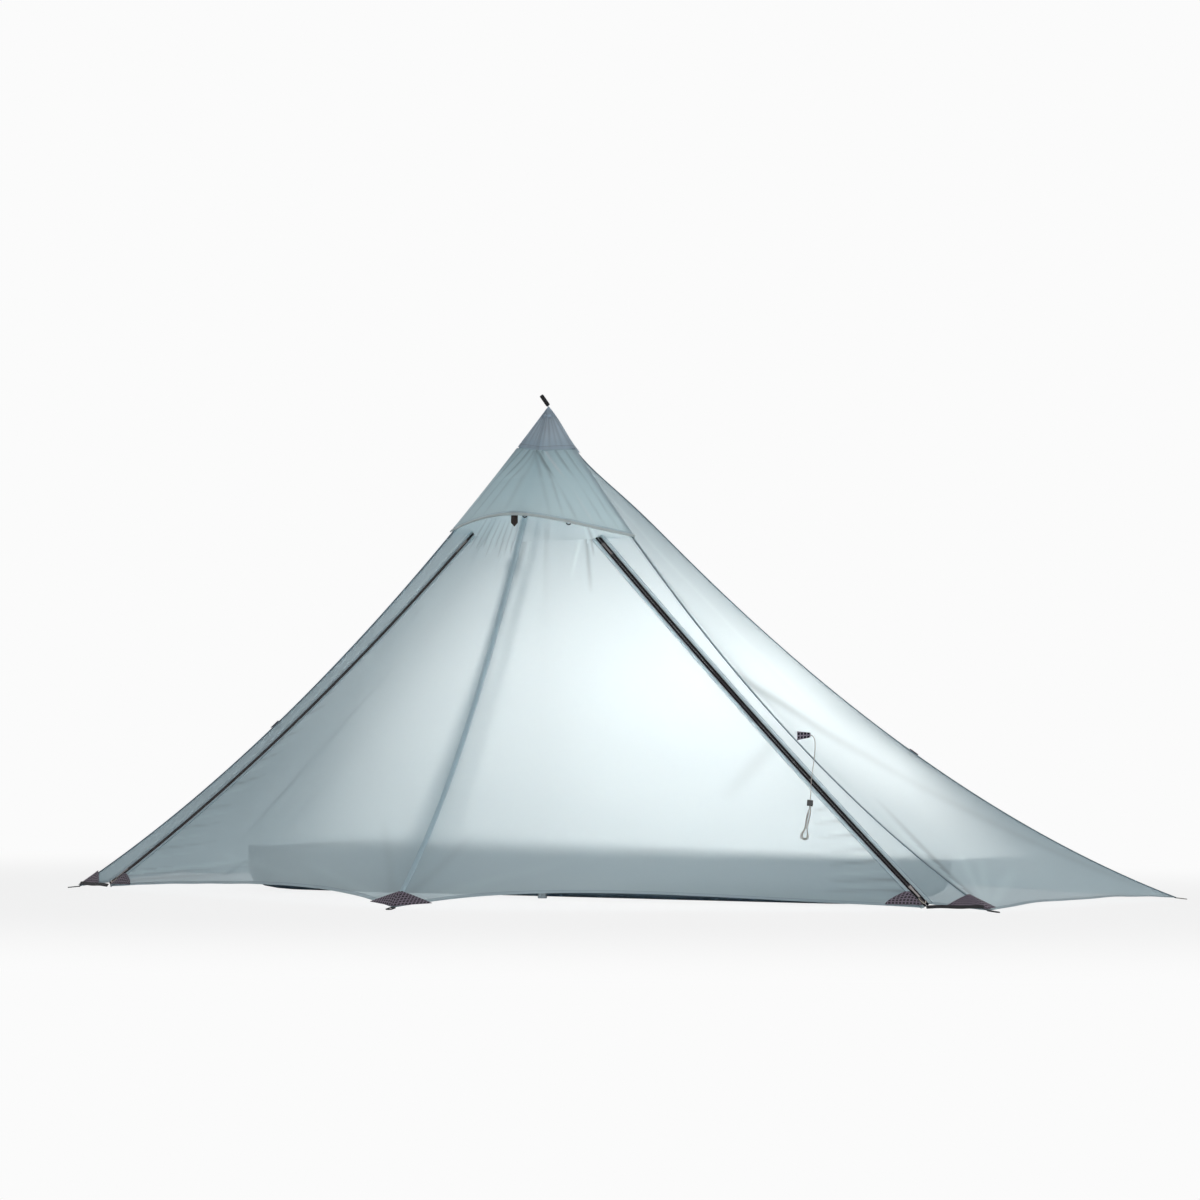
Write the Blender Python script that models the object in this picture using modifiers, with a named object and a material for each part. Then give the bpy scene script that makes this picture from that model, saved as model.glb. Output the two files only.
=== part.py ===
"""Pyramid tent for one person: a five-cornered fly of thin cloth over one centre pole, with an inner tent.

Metres, +Z up. The pole's foot stands on the origin, the front corner points along -Y and the two side
corners lie along X. The fly's ridges run from the peak to the corners and sag as hanging cloth does.
"""

import math

import bmesh
import bpy
import numpy as np
from mathutils import Matrix, Vector

# Plan and height of the fly
PEAK_HEIGHT = 1.40
FRONT_REACH = 1.05
SIDE_REACH = 1.38
SIDE_FORWARD = 0.18
REAR_REACH = 1.54
REAR_DEPTH = 1.15
CORNER_LIFT = 0.006

# How far the middle of each ridge hangs below a straight line
SAG_FRONT = 0.166
SAG_RIGHT = 0.137
SAG_LEFT = 0.115
SAG_REAR = 0.175
ARCH_FRONT = 0.030
ARCH_SIDE = 0.015
ARCH_REAR = 0.030
arch_fade_power = 8

# Cloth, seams and the clearance that touching pieces keep
CLOTH = 0.0010
SEAM_RADIUS = 0.0030
GAP = 0.0003
CUT_GAP = 0.0006
MERGE = 0.00003
SHARP_ANGLE = math.radians(40)
PATCH_THICKNESS = 0.0012
PATCH_RIDE = 0.0034
DOOR_PATCH_RIDE = 0.0018
PATCH_CREST = 0.0099
PATCH_LEAST = 0.0132

# Shares of a ridge's run at which pieces start and stop
panel_top_share = 0.045
cone_base_share = 0.064
zip_top_share = 0.20
zip_across_share = 0.30
fold_across_share = 0.42

# How many points each cloth has down and across it
top_rows = 3
foot_rows = 10
panel_columns = 7
outer_columns = 4
inner_columns = 9
door_columns = 8
strip_columns = 3
cone_rows = 4
hood_rows = 7
hood_columns = 13
hood_samples = 100

# Zips
ZIP_TO_CORNER = 0.170
ZIP_SAG_LEFT = 0.050
ZIP_SAG_RIGHT = 0.015
TAPE_HALF_WIDTH = 0.0115
TAPE_THICKNESS = 0.0014
TAPE_TOP_CLEAR = 0.012
TAPE_FOOT_CLEAR = 0.010
SLIDER_LENGTH = 0.016
SLIDER_WIDTH = 0.010
SLIDER_HEIGHT = 0.004
SLIDER_RIDE = 0.0006
SLIDER_LIFT = 0.0020
PULL_LENGTH = 0.028
PULL_WIDTH = 0.006
PULL_THICKNESS = 0.002
TOP_SLIDER_TRAVEL = 0.30
FOOT_SLIDER_TRAVEL = 0.50

# Door flap
FOLD_TO_FRONT = 0.360
HINGE_STANDOFF = 0.003

# Peak
CONE_LIFT = 0.011
POCKET_HEIGHT = 0.012
POCKET_RADIUS = 0.0151
POCKET_DROP = 0.024
LOOP_LENGTH = 0.038
LOOP_WIDTH = 0.010
LOOP_THICKNESS = 0.0100
LOOP_SLOT_LENGTH = 0.024
LOOP_SLOT_WIDTH = 0.0050
LOOP_LEAN = math.radians(37)
LOOP_CLEAR = 0.0005

# Vent hood
hood_lip_share = 0.204
hood_centre_share = 0.178
HOOD_BULGE = 0.045
bulge_power = 1.2
hood_flat_share = 0.4
hung_share = 0.94
PROP_LENGTH = 0.040
PROP_WIDTH = 0.020
PROP_THICKNESS = 0.0020
PROP_OFF_CENTRE = 0.012
PROP_DROP = 0.0040
LOOP_RING = 0.0070
LOOP_CORD = 0.0013
ring_segments = 14
cord_sides = 6
CENTRE_LOOP_DROP = 0.0037
RIGHT_LOOP_DROP = 0.0046
centre_loop_share = 0.54
right_loop_share = 0.77

# Corner reinforcements, tie-outs and ridge tabs
PATCH_ON_HEM = 0.120
PATCH_ON_RIDGE = 0.085
PATCH_PAST_CORNER = 0.045
patch_width_shares = (1.0, 0.62, 0.22)
door_patch_width_shares = (1.0, 0.75, 0.30)
FRONT_PATCH_SIDE = 0.105
FRONT_PATCH_RISE = 0.085
DOOR_PATCH_WIDTH = 0.105
DOOR_PATCH_RISE = 0.062
TIE_LENGTH = 0.038
TIE_WIDTH = 0.020
TIE_THICKNESS = 0.0032
TIE_SLOT_LENGTH = 0.024
TIE_SLOT_WIDTH = 0.010
TAB_LENGTH = 0.046
TAB_ROOT = 0.030
TAB_TIP = 0.013
TAB_THICKNESS = 0.0016
TAB_STANDOFF = 0.0051
TAB_REST = 0.0024
tab_share = 0.575
STRAP_WIDTH = 0.012
STRAP_THICKNESS = 0.0015
STRAP_TO_ZIP = 0.023
HOOK_LENGTH = 0.022
HOOK_WIRE = 0.0012

# Pole
POLE_LOWER_RADIUS = 0.0100
POLE_LOWER_BORE = 0.0086
POLE_UPPER_RADIUS = 0.0080
POLE_LOWER_LENGTH = 0.740
POLE_FOOT_HEIGHT = 0.030
POLE_FOOT_RADIUS = 0.0130
POLE_UPPER_BOTTOM = 0.600
POLE_TIP_RADIUS = 0.0040
POLE_TIP_HEIGHT = 0.022
LOCK_RADIUS = 0.0150
LOCK_HEIGHT = 0.030
LEVER_LENGTH = 0.034
LEVER_WIDTH = 0.010
LEVER_THICKNESS = 0.005
LEVER_OVER_HINGE = 0.001
pole_sides = 20
pocket_sides = 12

# Inner tent
INNER_HALF_LENGTH = 0.98
INNER_FRONT = 0.030
INNER_DEPTH = 0.80
TUB_WALL = 0.130
TUB_CLOTH = 0.0020
INNER_PEAK = 1.20
INNER_PEAK_BACK = 0.030
MESH = 0.0012
MESH_INSET = 0.0036
INNER_DOOR_START = 0.030
INNER_DOOR_WIDTH = 0.560
INNER_DOOR_TOP = 0.985
DOOR_GAP = 0.0020
INNER_INSET = 0.0048

# Guyline: places over the right door as ways down its zip, in from it and off its cloth
GUY_CROSSING = (0.9589, 0.0028, 0.0095)
GUY_LOCK = (1.0509, 0.0538, 0.0055)
HANK_FOOT = (1.2133, 0.1578, 0.0055)
GUY_HANDLE = 0.030
GUY_TAIL = 0.012
CORD_RADIUS = 0.0011
CORD_STEP = 0.0050
LOCK_PLATE = 0.016
LOCK_DEPTH = 0.006
CORD_HOLE = 0.0018
HANK_LENGTH = 0.112
HANK_LEAD = 0.005
HANK_HALF_WIDTH = 0.0115
HANK_PITCH = 0.0030
hank_loops = 3
points_per_loop = 24
hank_way_shares = (0.0, 0.02, 0.06, 0.15, 0.35, 0.55, 0.66, 0.74, 0.82, 0.90, 0.96, 0.99, 1.0)
hank_width_shares = (0.0, 0.17, 0.27, 0.34, 0.36, 0.28, 0.18, 0.50, 0.86, 1.0, 0.80, 0.42, 0.0)

parts = bpy.data.collections.new("pyramid_tent")
cutters = bpy.data.collections.new("cutters")


def clear_scene():
    """Remove what the file opened with and add the two collections."""
    for old in list(bpy.data.objects):
        bpy.data.objects.remove(old, do_unlink=True)
    bpy.context.scene.collection.children.link(parts)
    bpy.context.scene.collection.children.link(cutters)


def material(name, colour, roughness, metallic=0.0):
    """One Principled material with the colour, roughness and metallic value of a finish."""
    made = bpy.data.materials.new(name)
    made.use_nodes = True
    shader = made.node_tree.nodes["Principled BSDF"]
    shader.inputs["Base Color"].default_value = (*colour, 1.0)
    shader.inputs["Roughness"].default_value = roughness
    shader.inputs["Metallic"].default_value = metallic
    made.diffuse_color = (*colour, 1.0)
    return made


clear_scene()
fly_cloth = material("fly_cloth", (0.52, 0.64, 0.67), 0.45)
cone_cloth = material("cone_cloth", (0.30, 0.36, 0.40), 0.50)
gridstop = material("gridstop", (0.10, 0.08, 0.12), 0.60)
webbing = material("webbing", (0.02, 0.02, 0.025), 0.75)
zip_tape = material("zip_tape", (0.015, 0.014, 0.02), 0.55)
zip_metal = material("zip_metal", (0.62, 0.58, 0.52), 0.30, 1.0)
cord_white = material("cord_white", (0.80, 0.76, 0.70), 0.70)
plastic = material("plastic", (0.02, 0.02, 0.022), 0.40)
pole_metal = material("pole_metal", (0.70, 0.71, 0.73), 0.35, 1.0)
mesh_cloth = material("mesh_cloth", (0.72, 0.74, 0.75), 0.80)
floor_cloth = material("floor_cloth", (0.16, 0.22, 0.26), 0.50)


def place(obj, name, finish, home=parts):
    """Name an object, give it its finish and put it in its collection."""
    obj.name = name
    obj.data.materials.clear()
    obj.data.materials.append(finish)
    for old in list(obj.users_collection):
        old.objects.unlink(obj)
    home.objects.link(obj)
    return obj


def pivot(name, spot, axis=(0, 0, 1)):
    """An empty on a joint's axis, its own Z along the axis."""
    empty = bpy.data.objects.new(name, None)
    turn = Vector(axis).to_track_quat("Z", "Y").to_matrix().to_4x4()
    empty.matrix_world = Matrix.Translation(Vector(spot)) @ turn
    parts.objects.link(empty)
    return empty


def carry(empty, *objects):
    """Parent pieces to an empty and leave them where they are."""
    bpy.context.view_layer.update()
    for obj in objects:
        obj.parent = empty
        obj.matrix_parent_inverse = empty.matrix_world.inverted()


def unit(vector):
    """A vector or an array of vectors at length one."""
    vector = np.asarray(vector, float)
    return vector / np.linalg.norm(vector, axis=-1, keepdims=True)


def sheet(name, grids, thickness, finish):
    """One or more grids of points, joined where they meet, as a cloth of the given thickness."""
    shape = bmesh.new()
    for grid in grids:
        rows, columns = grid.shape[:2]
        corners = [[shape.verts.new(grid[i, j]) for j in range(columns)] for i in range(rows)]
        for i in range(rows - 1):
            for j in range(columns - 1):
                ring = (corners[i][j], corners[i + 1][j], corners[i + 1][j + 1], corners[i][j + 1])
                shape.faces.new(ring)
    bmesh.ops.remove_doubles(shape, verts=shape.verts, dist=MERGE)
    bmesh.ops.recalc_face_normals(shape, faces=shape.faces)
    mesh = bpy.data.meshes.new(name)
    shape.to_mesh(mesh)
    shape.free()
    cloth = place(bpy.data.objects.new(name, mesh), name, finish)
    solid = cloth.modifiers.new("thickness", "SOLIDIFY")
    solid.thickness = thickness
    solid.offset = 0
    mesh.shade_smooth()
    mesh.set_sharp_from_angle(angle=SHARP_ANGLE)
    return cloth


def tube(name, points, radius, finish, resolution=1):
    """A round cord or seam along points, with closed ends."""
    curve = bpy.data.curves.new(name, "CURVE")
    curve.dimensions = "3D"
    curve.bevel_depth = radius
    curve.bevel_resolution = resolution
    curve.use_fill_caps = True
    spline = curve.splines.new("POLY")
    spline.points.add(len(points) - 1)
    flat = np.concatenate([np.asarray(points, float), np.ones((len(points), 1))], axis=1)
    spline.points.foreach_set("co", flat.ravel())
    return place(bpy.data.objects.new(name, curve), name, finish)


def frame(origin, across, normal):
    """A matrix with X along across, Z along normal and its origin at a point."""
    z = Vector(normal).normalized()
    x = Vector(across)
    x = (x - z * x.dot(z)).normalized()
    y = z.cross(x)
    turn = Matrix((x, y, z)).transposed().to_4x4()
    return Matrix.Translation(Vector(origin)) @ turn


def plate(name, outline, thickness, matrix, finish, hole=None):
    """A flat outline in the matrix's XY plane, centred on that plane, with an optional hole."""
    curve = bpy.data.curves.new(name, "CURVE")
    curve.dimensions = "2D"
    curve.fill_mode = "BOTH"
    curve.extrude = thickness / 2
    for ring in filter(None, (outline, hole)):
        spline = curve.splines.new("POLY")
        spline.points.add(len(ring) - 1)
        spline.points.foreach_set("co", [value for x, y in ring for value in (x, y, 0.0, 1.0)])
        spline.use_cyclic_u = True
    made = place(bpy.data.objects.new(name, curve), name, finish)
    made.matrix_world = matrix
    return made


def block(name, size, matrix, finish, home=parts):
    """A box of the given size, centred on the matrix's origin."""
    bpy.ops.mesh.primitive_cube_add(size=1)
    made = bpy.context.object
    made.data.transform(Matrix.Diagonal((*size, 1.0)))
    made = place(made, name, finish, home)
    made.matrix_world = matrix
    return made


def turned(name, profile, finish, sides=pole_sides):
    """A profile of (radius, height) pairs, run down its outer side, turned about Z."""
    mesh = bpy.data.meshes.new(name)
    edges = [(i, i + 1) for i in range(len(profile) - 1)]
    mesh.from_pydata([(radius, 0, height) for radius, height in profile], edges, [])
    made = place(bpy.data.objects.new(name, mesh), name, finish)
    screw = made.modifiers.new("turn", "SCREW")
    screw.steps = sides
    screw.render_steps = sides
    screw.use_merge_vertices = True
    screw.merge_threshold = MERGE
    return made


def slot_ring(length, width, steps=6):
    """A slot with round ends, length by width, as points about the origin."""
    straight = (length - width) / 2
    angles = np.linspace(-math.pi / 2, math.pi / 2, steps + 1)
    right = [(straight + width / 2 * math.cos(a), width / 2 * math.sin(a)) for a in angles]
    left = [(-x, -y) for x, y in right]
    return right + left


def cut(obj, cutter):
    """Take a cutter out of a mesh object with an exact Boolean."""
    cutter.hide_render = True
    cutter.display_type = "WIRE"
    hole = obj.modifiers.new("cut", "BOOLEAN")
    hole.object = cutter
    hole.operation = "DIFFERENCE"
    hole.solver = "EXACT"


# Ridges and faces of the fly
apex = np.array([0.0, 0.0, PEAK_HEIGHT - CONE_LIFT])
ridge_ends = {
    "front": (0.0, -FRONT_REACH, SAG_FRONT),
    "right": (SIDE_REACH, -SIDE_FORWARD, SAG_RIGHT),
    "left": (-SIDE_REACH, -SIDE_FORWARD, SAG_LEFT),
    "rear_right": (REAR_REACH, REAR_DEPTH, SAG_REAR),
    "rear_left": (-REAR_REACH, REAR_DEPTH, SAG_REAR),
}


def corner(ridge):
    """The hem corner at the foot of a ridge."""
    x, y, _ = ridge_ends[ridge]
    return np.array([x, y, CORNER_LIFT])


def along(ridge, share):
    """Points of a ridge: a straight run from peak to corner that sags as a parabola."""
    share = np.asarray(share, float)[..., None]
    sag = ridge_ends[ridge][2]
    return apex + (corner(ridge) - apex) * share - 4 * sag * share * (1 - share) * np.array([0, 0, 1.0])


def across(first, second, columns):
    """Rows of points from one edge to the other, spread over shares of the way."""
    columns = np.asarray(columns, float)[None, :, None]
    return first[:, None, :] * (1 - columns) + second[:, None, :] * columns


def drawn_in(edge, other, distance):
    """An edge moved toward the other one, so that it lies a distance from its own first line."""
    heading = unit(other - edge)
    tangent = unit(np.gradient(edge, axis=0))
    slant = np.sqrt(1 - np.sum(heading * tangent, axis=1, keepdims=True) ** 2)
    return edge + heading * distance / slant


def arched(grid, shares, hem_shares, arch):
    """Lift the hem between its corners. The lift fades away up the panel."""
    lift = 4 * arch * hem_shares * (1 - hem_shares)
    weight = np.asarray(shares, float)[:, None] ** arch_fade_power
    grid[..., 2] += weight * lift
    return grid


seam_room = SEAM_RADIUS + GAP
ridge_shares = np.concatenate(
    [np.linspace(panel_top_share, zip_top_share, top_rows), np.linspace(zip_top_share, 1, foot_rows)[1:]]
)
upper = slice(0, top_rows)
lower = slice(top_rows - 1, None)


def full_panel(name, first, second, arch):
    """A whole panel of the fly between two ridges."""
    a = along(first, ridge_shares)
    b = along(second, ridge_shares)
    steps = np.linspace(0, 1, panel_columns)
    grid = across(drawn_in(a, b, seam_room), drawn_in(b, a, seam_room), steps)
    return sheet(name, [arched(grid, ridge_shares, steps[None, :], arch)], CLOTH, fly_cloth)


full_panel("side_left", "left", "rear_left", ARCH_SIDE)
full_panel("side_right", "right", "rear_right", ARCH_SIDE)
full_panel("rear_panel", "rear_right", "rear_left", ARCH_REAR)

for ridge in ridge_ends:
    tube(f"seam_{ridge}", along(ridge, ridge_shares), SEAM_RADIUS, fly_cloth)


fold_steps = (ridge_shares[lower] - zip_top_share) / (1 - zip_top_share)


class FrontFace:
    """The lines of one half of the door wall: its hem, zip and fold, and the plane of the door flap."""

    def __init__(self, side):
        self.side = side
        ridge = along(side, ridge_shares)
        front = along("front", ridge_shares)
        self.ridge_edge = drawn_in(ridge, front, seam_room)
        self.front_edge = drawn_in(front, ridge, seam_room)
        self.hem = unit(corner("front") - corner(side))
        self.hem_length = np.linalg.norm(corner("front") - corner(side))
        outer_end = self.ridge_edge[upper][-1]
        row = self.front_edge[upper][-1] - outer_end
        self.row = unit(row)
        self.zip_top = outer_end + row * zip_across_share
        self.fold_top = outer_end + row * fold_across_share
        self.zip_foot = self.hem_point(ZIP_TO_CORNER)
        self.fold_foot = self.hem_point(self.hem_length - FOLD_TO_FRONT)
        self.zip_length = np.linalg.norm(self.zip_foot - self.zip_top)
        self.down = unit(self.zip_foot - self.zip_top)
        normal = unit(np.cross(self.down, self.fold_foot - self.zip_top))
        self.normal = normal if normal[1] < 0 else -normal
        inward = np.cross(self.normal, self.down)
        self.inward = inward if inward @ self.hem > 0 else -inward
        self.fold_down = unit(self.fold_foot - self.fold_top)
        self.zip_sag = ZIP_SAG_LEFT if side == "left" else ZIP_SAG_RIGHT

    def hem_point(self, distance):
        """A point of the arched hem, a distance from the side corner."""
        share = distance / self.hem_length
        spot = corner(self.side) + self.hem * distance
        spot[2] += 4 * ARCH_FRONT * share * (1 - share)
        return spot

    def beside_zip(self, steps, heading):
        """The panel edge beside the zip tape: inward of the zip for +1, outward for -1."""
        room = TAPE_HALF_WIDTH + GAP + CLOTH / 2
        top_run = room / math.sqrt(1 - (self.row @ self.down) ** 2)
        foot_run = room / math.sqrt(1 - (self.hem @ self.down) ** 2)
        top = self.zip_top + heading * self.row * top_run
        foot = self.zip_foot + heading * self.hem * foot_run
        return across(top[None], foot[None], steps)[0] + self.hang(steps)

    def hang(self, steps):
        """How far the zip hangs below its chord, by shares of its run. It is straight between stations."""
        drops = 4 * self.zip_sag * fold_steps * (1 - fold_steps)
        return -np.interp(steps, fold_steps, drops)[..., None] * np.array([0, 0, 1.0])

    def on_zip(self, down):
        """A point of the zip's middle line, by its way down from the top."""
        return self.zip_top + self.down * down + self.hang(np.array(down / self.zip_length))

    def above(self, down, inward, out):
        """A point over the door's cloth, by its way down the zip, its way in from it and its height."""
        edge = self.on_zip(down)
        fold = self.fold_top + (self.fold_foot - self.fold_top) * down / self.zip_length
        way = fold - edge
        return edge + way * inward / (way @ self.inward) + self.normal * out

    def on_cloth(self, down_share, in_share):
        """A point of the door's cloth, by shares of its run down the zip and in toward the fold."""
        edge = self.beside_zip(np.array([down_share]), 1)[0]
        fold = self.fold_top + (self.fold_foot - self.fold_top) * down_share
        return edge + (fold - edge) * in_share


def lowered(edge, distance):
    """An edge whose first point is moved a little way down it, for clearance from the piece above."""
    edge = edge.copy()
    edge[0] += unit(edge[1] - edge[0]) * distance
    return edge


faces = {side: FrontFace(side) for side in ("left", "right")}


def front_panels(face):
    """The fixed half wall, the strip outside the zip and the door flap between zip and fold."""
    outer = np.linspace(0, fold_across_share, outer_columns)
    columns = np.concatenate([outer, np.linspace(fold_across_share, 1, inner_columns)[1:]])
    head = across(face.ridge_edge[upper], face.front_edge[upper], columns)
    fold = across(face.fold_top[None], face.fold_foot[None], fold_steps)[0]
    foot = across(fold, face.front_edge[lower], np.linspace(0, 1, inner_columns))
    foot[0] = head[-1, outer_columns - 1 :]
    sheet(f"front_{face.side}", [head, foot], CLOTH, fly_cloth)

    inner = lowered(face.beside_zip(fold_steps, -1), CUT_GAP)
    strip_edge = drawn_in(along(face.side, ridge_shares)[lower], inner, seam_room)
    strip_edge = lowered(strip_edge, CUT_GAP)
    strip = across(strip_edge, inner, np.linspace(0, 1, strip_columns))
    sheet(f"strip_{face.side}", [strip], CLOTH, fly_cloth)

    zip_edge = lowered(face.beside_zip(fold_steps, 1), CUT_GAP)
    fold_side = unit(np.cross(face.normal, face.fold_down))
    fold_side = fold_side if fold_side @ face.hem < 0 else -fold_side
    fold_edge = lowered(fold + fold_side * CUT_GAP, CUT_GAP)
    steps = np.linspace(0, 1, door_columns)
    grid = across(zip_edge, fold_edge, steps)
    span = [ZIP_TO_CORNER / face.hem_length, 1 - FOLD_TO_FRONT / face.hem_length]
    hem_shares = span[0] + (span[1] - span[0]) * steps
    bow = 4 * ARCH_FRONT * hem_shares * (1 - hem_shares)
    bow -= np.interp(steps, [0, 1], [bow[0], bow[-1]])
    rise = fold_steps[:, None] ** arch_fade_power * bow
    up = -face.fold_down / face.fold_down[2]
    grid -= rise[..., None] * up
    return sheet(f"door_{face.side}", [grid], CLOTH, fly_cloth)


def zip_tapes(face):
    """Two tape halves along the zip, one on the strip and one on the door."""
    downs = fold_steps * face.zip_length
    downs[0] = TAPE_TOP_CLEAR
    downs[-1] -= TAPE_FOOT_CLEAR
    line = np.array([face.on_zip(down) for down in downs])
    made = []
    for name, heading in (("frame", -1), ("door", 1)):
        near = line + face.inward * heading * GAP / 2
        far = line + face.inward * heading * TAPE_HALF_WIDTH
        grid = np.stack([near, far], axis=1)
        made.append(sheet(f"zip_{face.side}_{name}", [grid], TAPE_THICKNESS, zip_tape))
    return made


def slider(face, name, down, travel):
    """A zip slider with its pull, lying on the tape with the pull toward the ground.

    It runs on a chord, down the zip for a positive travel and up it for a negative one, and lifts a little
    off the tape on its way.
    """
    half = SLIDER_WIDTH / 2
    pull = PULL_WIDTH / 2
    back = -SLIDER_LENGTH / 2
    outline = [
        (back, -half),
        (-back, -pull),
        (-back + PULL_LENGTH, -pull),
        (-back + PULL_LENGTH, pull),
        (-back, pull),
        (back, half),
    ]
    start = face.on_zip(down)
    run = face.on_zip(down + travel) + face.normal * SLIDER_LIFT - start
    out = TAPE_THICKNESS / 2 + SLIDER_RIDE + PULL_THICKNESS / 2
    heading = unit(face.on_zip(down + PULL_LENGTH) - start)
    level = face.normal - heading * (heading @ face.normal)
    matrix = frame(start + face.normal * out, heading, level)
    made = plate(f"slider_{face.side}_{name}", outline, PULL_THICKNESS, matrix, zip_metal)
    carry(pivot(f"{made.name}_line", start + face.normal * out, run), made)
    return made


for side, face in faces.items():
    door = front_panels(face)
    frame_tape, door_tape = zip_tapes(face)
    top_slider = slider(face, "top", TAPE_TOP_CLEAR + SLIDER_LENGTH, TOP_SLIDER_TRAVEL)
    pull_end = face.zip_length - TAPE_FOOT_CLEAR - HOOK_LENGTH - 2 * HOOK_WIRE
    foot_slider = slider(face, "foot", pull_end - PULL_LENGTH - SLIDER_LENGTH / 2, -FOOT_SLIDER_TRAVEL)
    if side == "left":
        hinge = pivot("door_hinge", face.fold_foot + face.normal * HINGE_STANDOFF, face.fold_down)
        carry(hinge, door, door_tape, top_slider.parent, foot_slider.parent)

lift = np.array([0, 0, CONE_LIFT])
ring_of_ridges = ("front", "right", "rear_right", "rear_left", "left", "front")


def peak_cone():
    """The doubled cloth over the peak: a five-sided cone that laps over the panels' tops."""
    shares = np.linspace(0, cone_base_share, cone_rows)
    columns = [along(ridge, shares) + lift for ridge in ring_of_ridges]
    return sheet("peak_cone", [np.stack(columns, axis=1)], CLOTH, cone_cloth)


def peak_pocket():
    """The pad under the peak that the pole's tip bears on."""
    top = PEAK_HEIGHT - POCKET_DROP
    foot = top - POCKET_HEIGHT
    profile = [(0, top), (POLE_TIP_RADIUS, top), (POCKET_RADIUS, foot), (0, foot)]
    return turned("peak_pocket", profile, cone_cloth, pocket_sides)


def peak_loop():
    """The webbing hang loop that stands up from the peak and leans to the left."""
    lean = Vector((-math.sin(LOOP_LEAN), 0, math.cos(LOOP_LEAN)))
    base = Vector((0, 0, PEAK_HEIGHT + LOOP_CLEAR))
    middle = base + lean * LOOP_LENGTH / 2
    side = Vector((0, 1, 0))
    matrix = frame(middle, lean, lean.cross(side))
    outline = slot_ring(LOOP_LENGTH, LOOP_WIDTH)
    hole = slot_ring(LOOP_SLOT_LENGTH, LOOP_SLOT_WIDTH)
    return plate("peak_loop", outline, LOOP_THICKNESS, matrix, webbing, hole)


def hood_surface(rows_down, columns_across):
    """The vent hood: from the cone's edge it swells away from the front seam to a bowed lip."""
    down = np.linspace(0, 1, rows_down)[:, None]
    over = np.linspace(0, 1, columns_across)[None, :]
    lip = hood_lip_share - (hood_lip_share - hood_centre_share) * np.sin(math.pi * over)
    first = cone_base_share * (1 + GAP / CONE_LIFT)
    shares = first + (lip - first) * down
    left = along("left", shares)
    front = along("front", shares)
    right = along("right", shares)
    seam_line = unit(corner("front") - apex)
    out = np.array([0, seam_line[2], -seam_line[1]])
    middle = front + out * (HOOD_BULGE * down**bulge_power)[..., None]
    over = over[..., None]
    flat = np.where(over < 0.5, left + (front - left) * 2 * over, front + (right - front) * (2 * over - 1))
    control = 2 * middle - (left + right) / 2
    bowed = left * (1 - over) ** 2 + control * 2 * over * (1 - over) + right * over**2
    swell = np.clip(down / hood_flat_share, 0, 1)[..., None]
    return flat * (1 - swell) + bowed * swell + lift


def vent_hood():
    """The hood over the vent, two cloth panels that stand off the door wall below the peak."""
    return sheet("vent_hood", [hood_surface(hood_rows, hood_columns)], CLOTH, fly_cloth)


def under_hood(over):
    """A point of the hood near its lip, by a share of the way across."""
    surface = hood_surface(hood_samples + 1, hood_samples + 1)
    return surface[round(hung_share * hood_samples), round(over * hood_samples)]


def vent_prop():
    """The flat strap with a pointed tail that hangs under the hood and can hold the vent open."""
    centre = under_hood(0.5)
    top = Vector((centre[0] - PROP_OFF_CENTRE, centre[1], centre[2] - CLOTH - PROP_DROP))
    half = PROP_WIDTH / 2
    neck = -PROP_LENGTH + half
    outline = [(-half, 0), (-half, neck), (0, -PROP_LENGTH), (half, neck), (half, 0)]
    matrix = frame(top, (1, 0, 0), (0, -1, 0))
    strap = plate("vent_prop", outline, PROP_THICKNESS, matrix, webbing)
    carry(pivot("prop_hinge", top, (1, 0, 0)), strap)


def tie_back(name, over, drop):
    """A small loop of elastic cord that hangs under the hood's lip, for tying back a rolled door."""
    spot = under_hood(over)
    top = Vector(spot) - Vector((0, 0, drop))
    bpy.ops.mesh.primitive_torus_add(
        major_radius=LOOP_RING,
        minor_radius=LOOP_CORD,
        major_segments=ring_segments,
        minor_segments=cord_sides,
    )
    loop = place(bpy.context.object, name, webbing)
    middle = top - Vector((0, 0, LOOP_RING + LOOP_CORD))
    loop.matrix_world = frame(middle, (1, 0, 0), (0, -1, 0))
    carry(pivot(f"{name}_hinge", top, (1, 0, 0)), loop)


peak_cone()
peak_pocket()
peak_loop()
vent_hood()
vent_prop()
tie_back("tie_back_centre", centre_loop_share, CENTRE_LOOP_DROP)
tie_back("tie_back_right", right_loop_share, RIGHT_LOOP_DROP)


def corner_patch(name, ridge, before, after, widths, rise):
    """A gridstop corner patch that follows the panels on both sides of a ridge seam.

    before and after are the far edges of the two panels, with one point for each ridge station.
    """
    stations = along(ridge, ridge_shares)[-2:]
    ends = [before[-2:], after[-2:]]
    foot_share = 1 - rise / np.linalg.norm(stations[1] - stations[0])
    grid = []
    for row_share, width_share in zip((1.0, (1 + foot_share) / 2, foot_share), patch_width_shares):
        centre = stations[0] + (stations[1] - stations[0]) * row_share
        tangent = unit(stations[1] - stations[0])
        row = []
        normals = []
        for end, width in zip(ends, widths):
            heading = unit(end[0] + (end[1] - end[0]) * row_share - centre)
            normal = np.cross(heading, tangent)
            normal = unit(normal if normal @ corner(ridge) > 0 else -normal)
            normals.append(normal)
            near = centre + heading * PATCH_CREST + normal * PATCH_RIDE
            far = centre + heading * max(width * width_share, PATCH_LEAST) + normal * PATCH_RIDE
            row.append([far, near])
        crown = centre + unit(normals[0] + normals[1]) * (seam_room + PATCH_THICKNESS)
        grid.append(row[0] + [crown] + row[1][::-1])
    return sheet(name, [np.array(grid)], PATCH_THICKNESS, gridstop)


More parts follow.
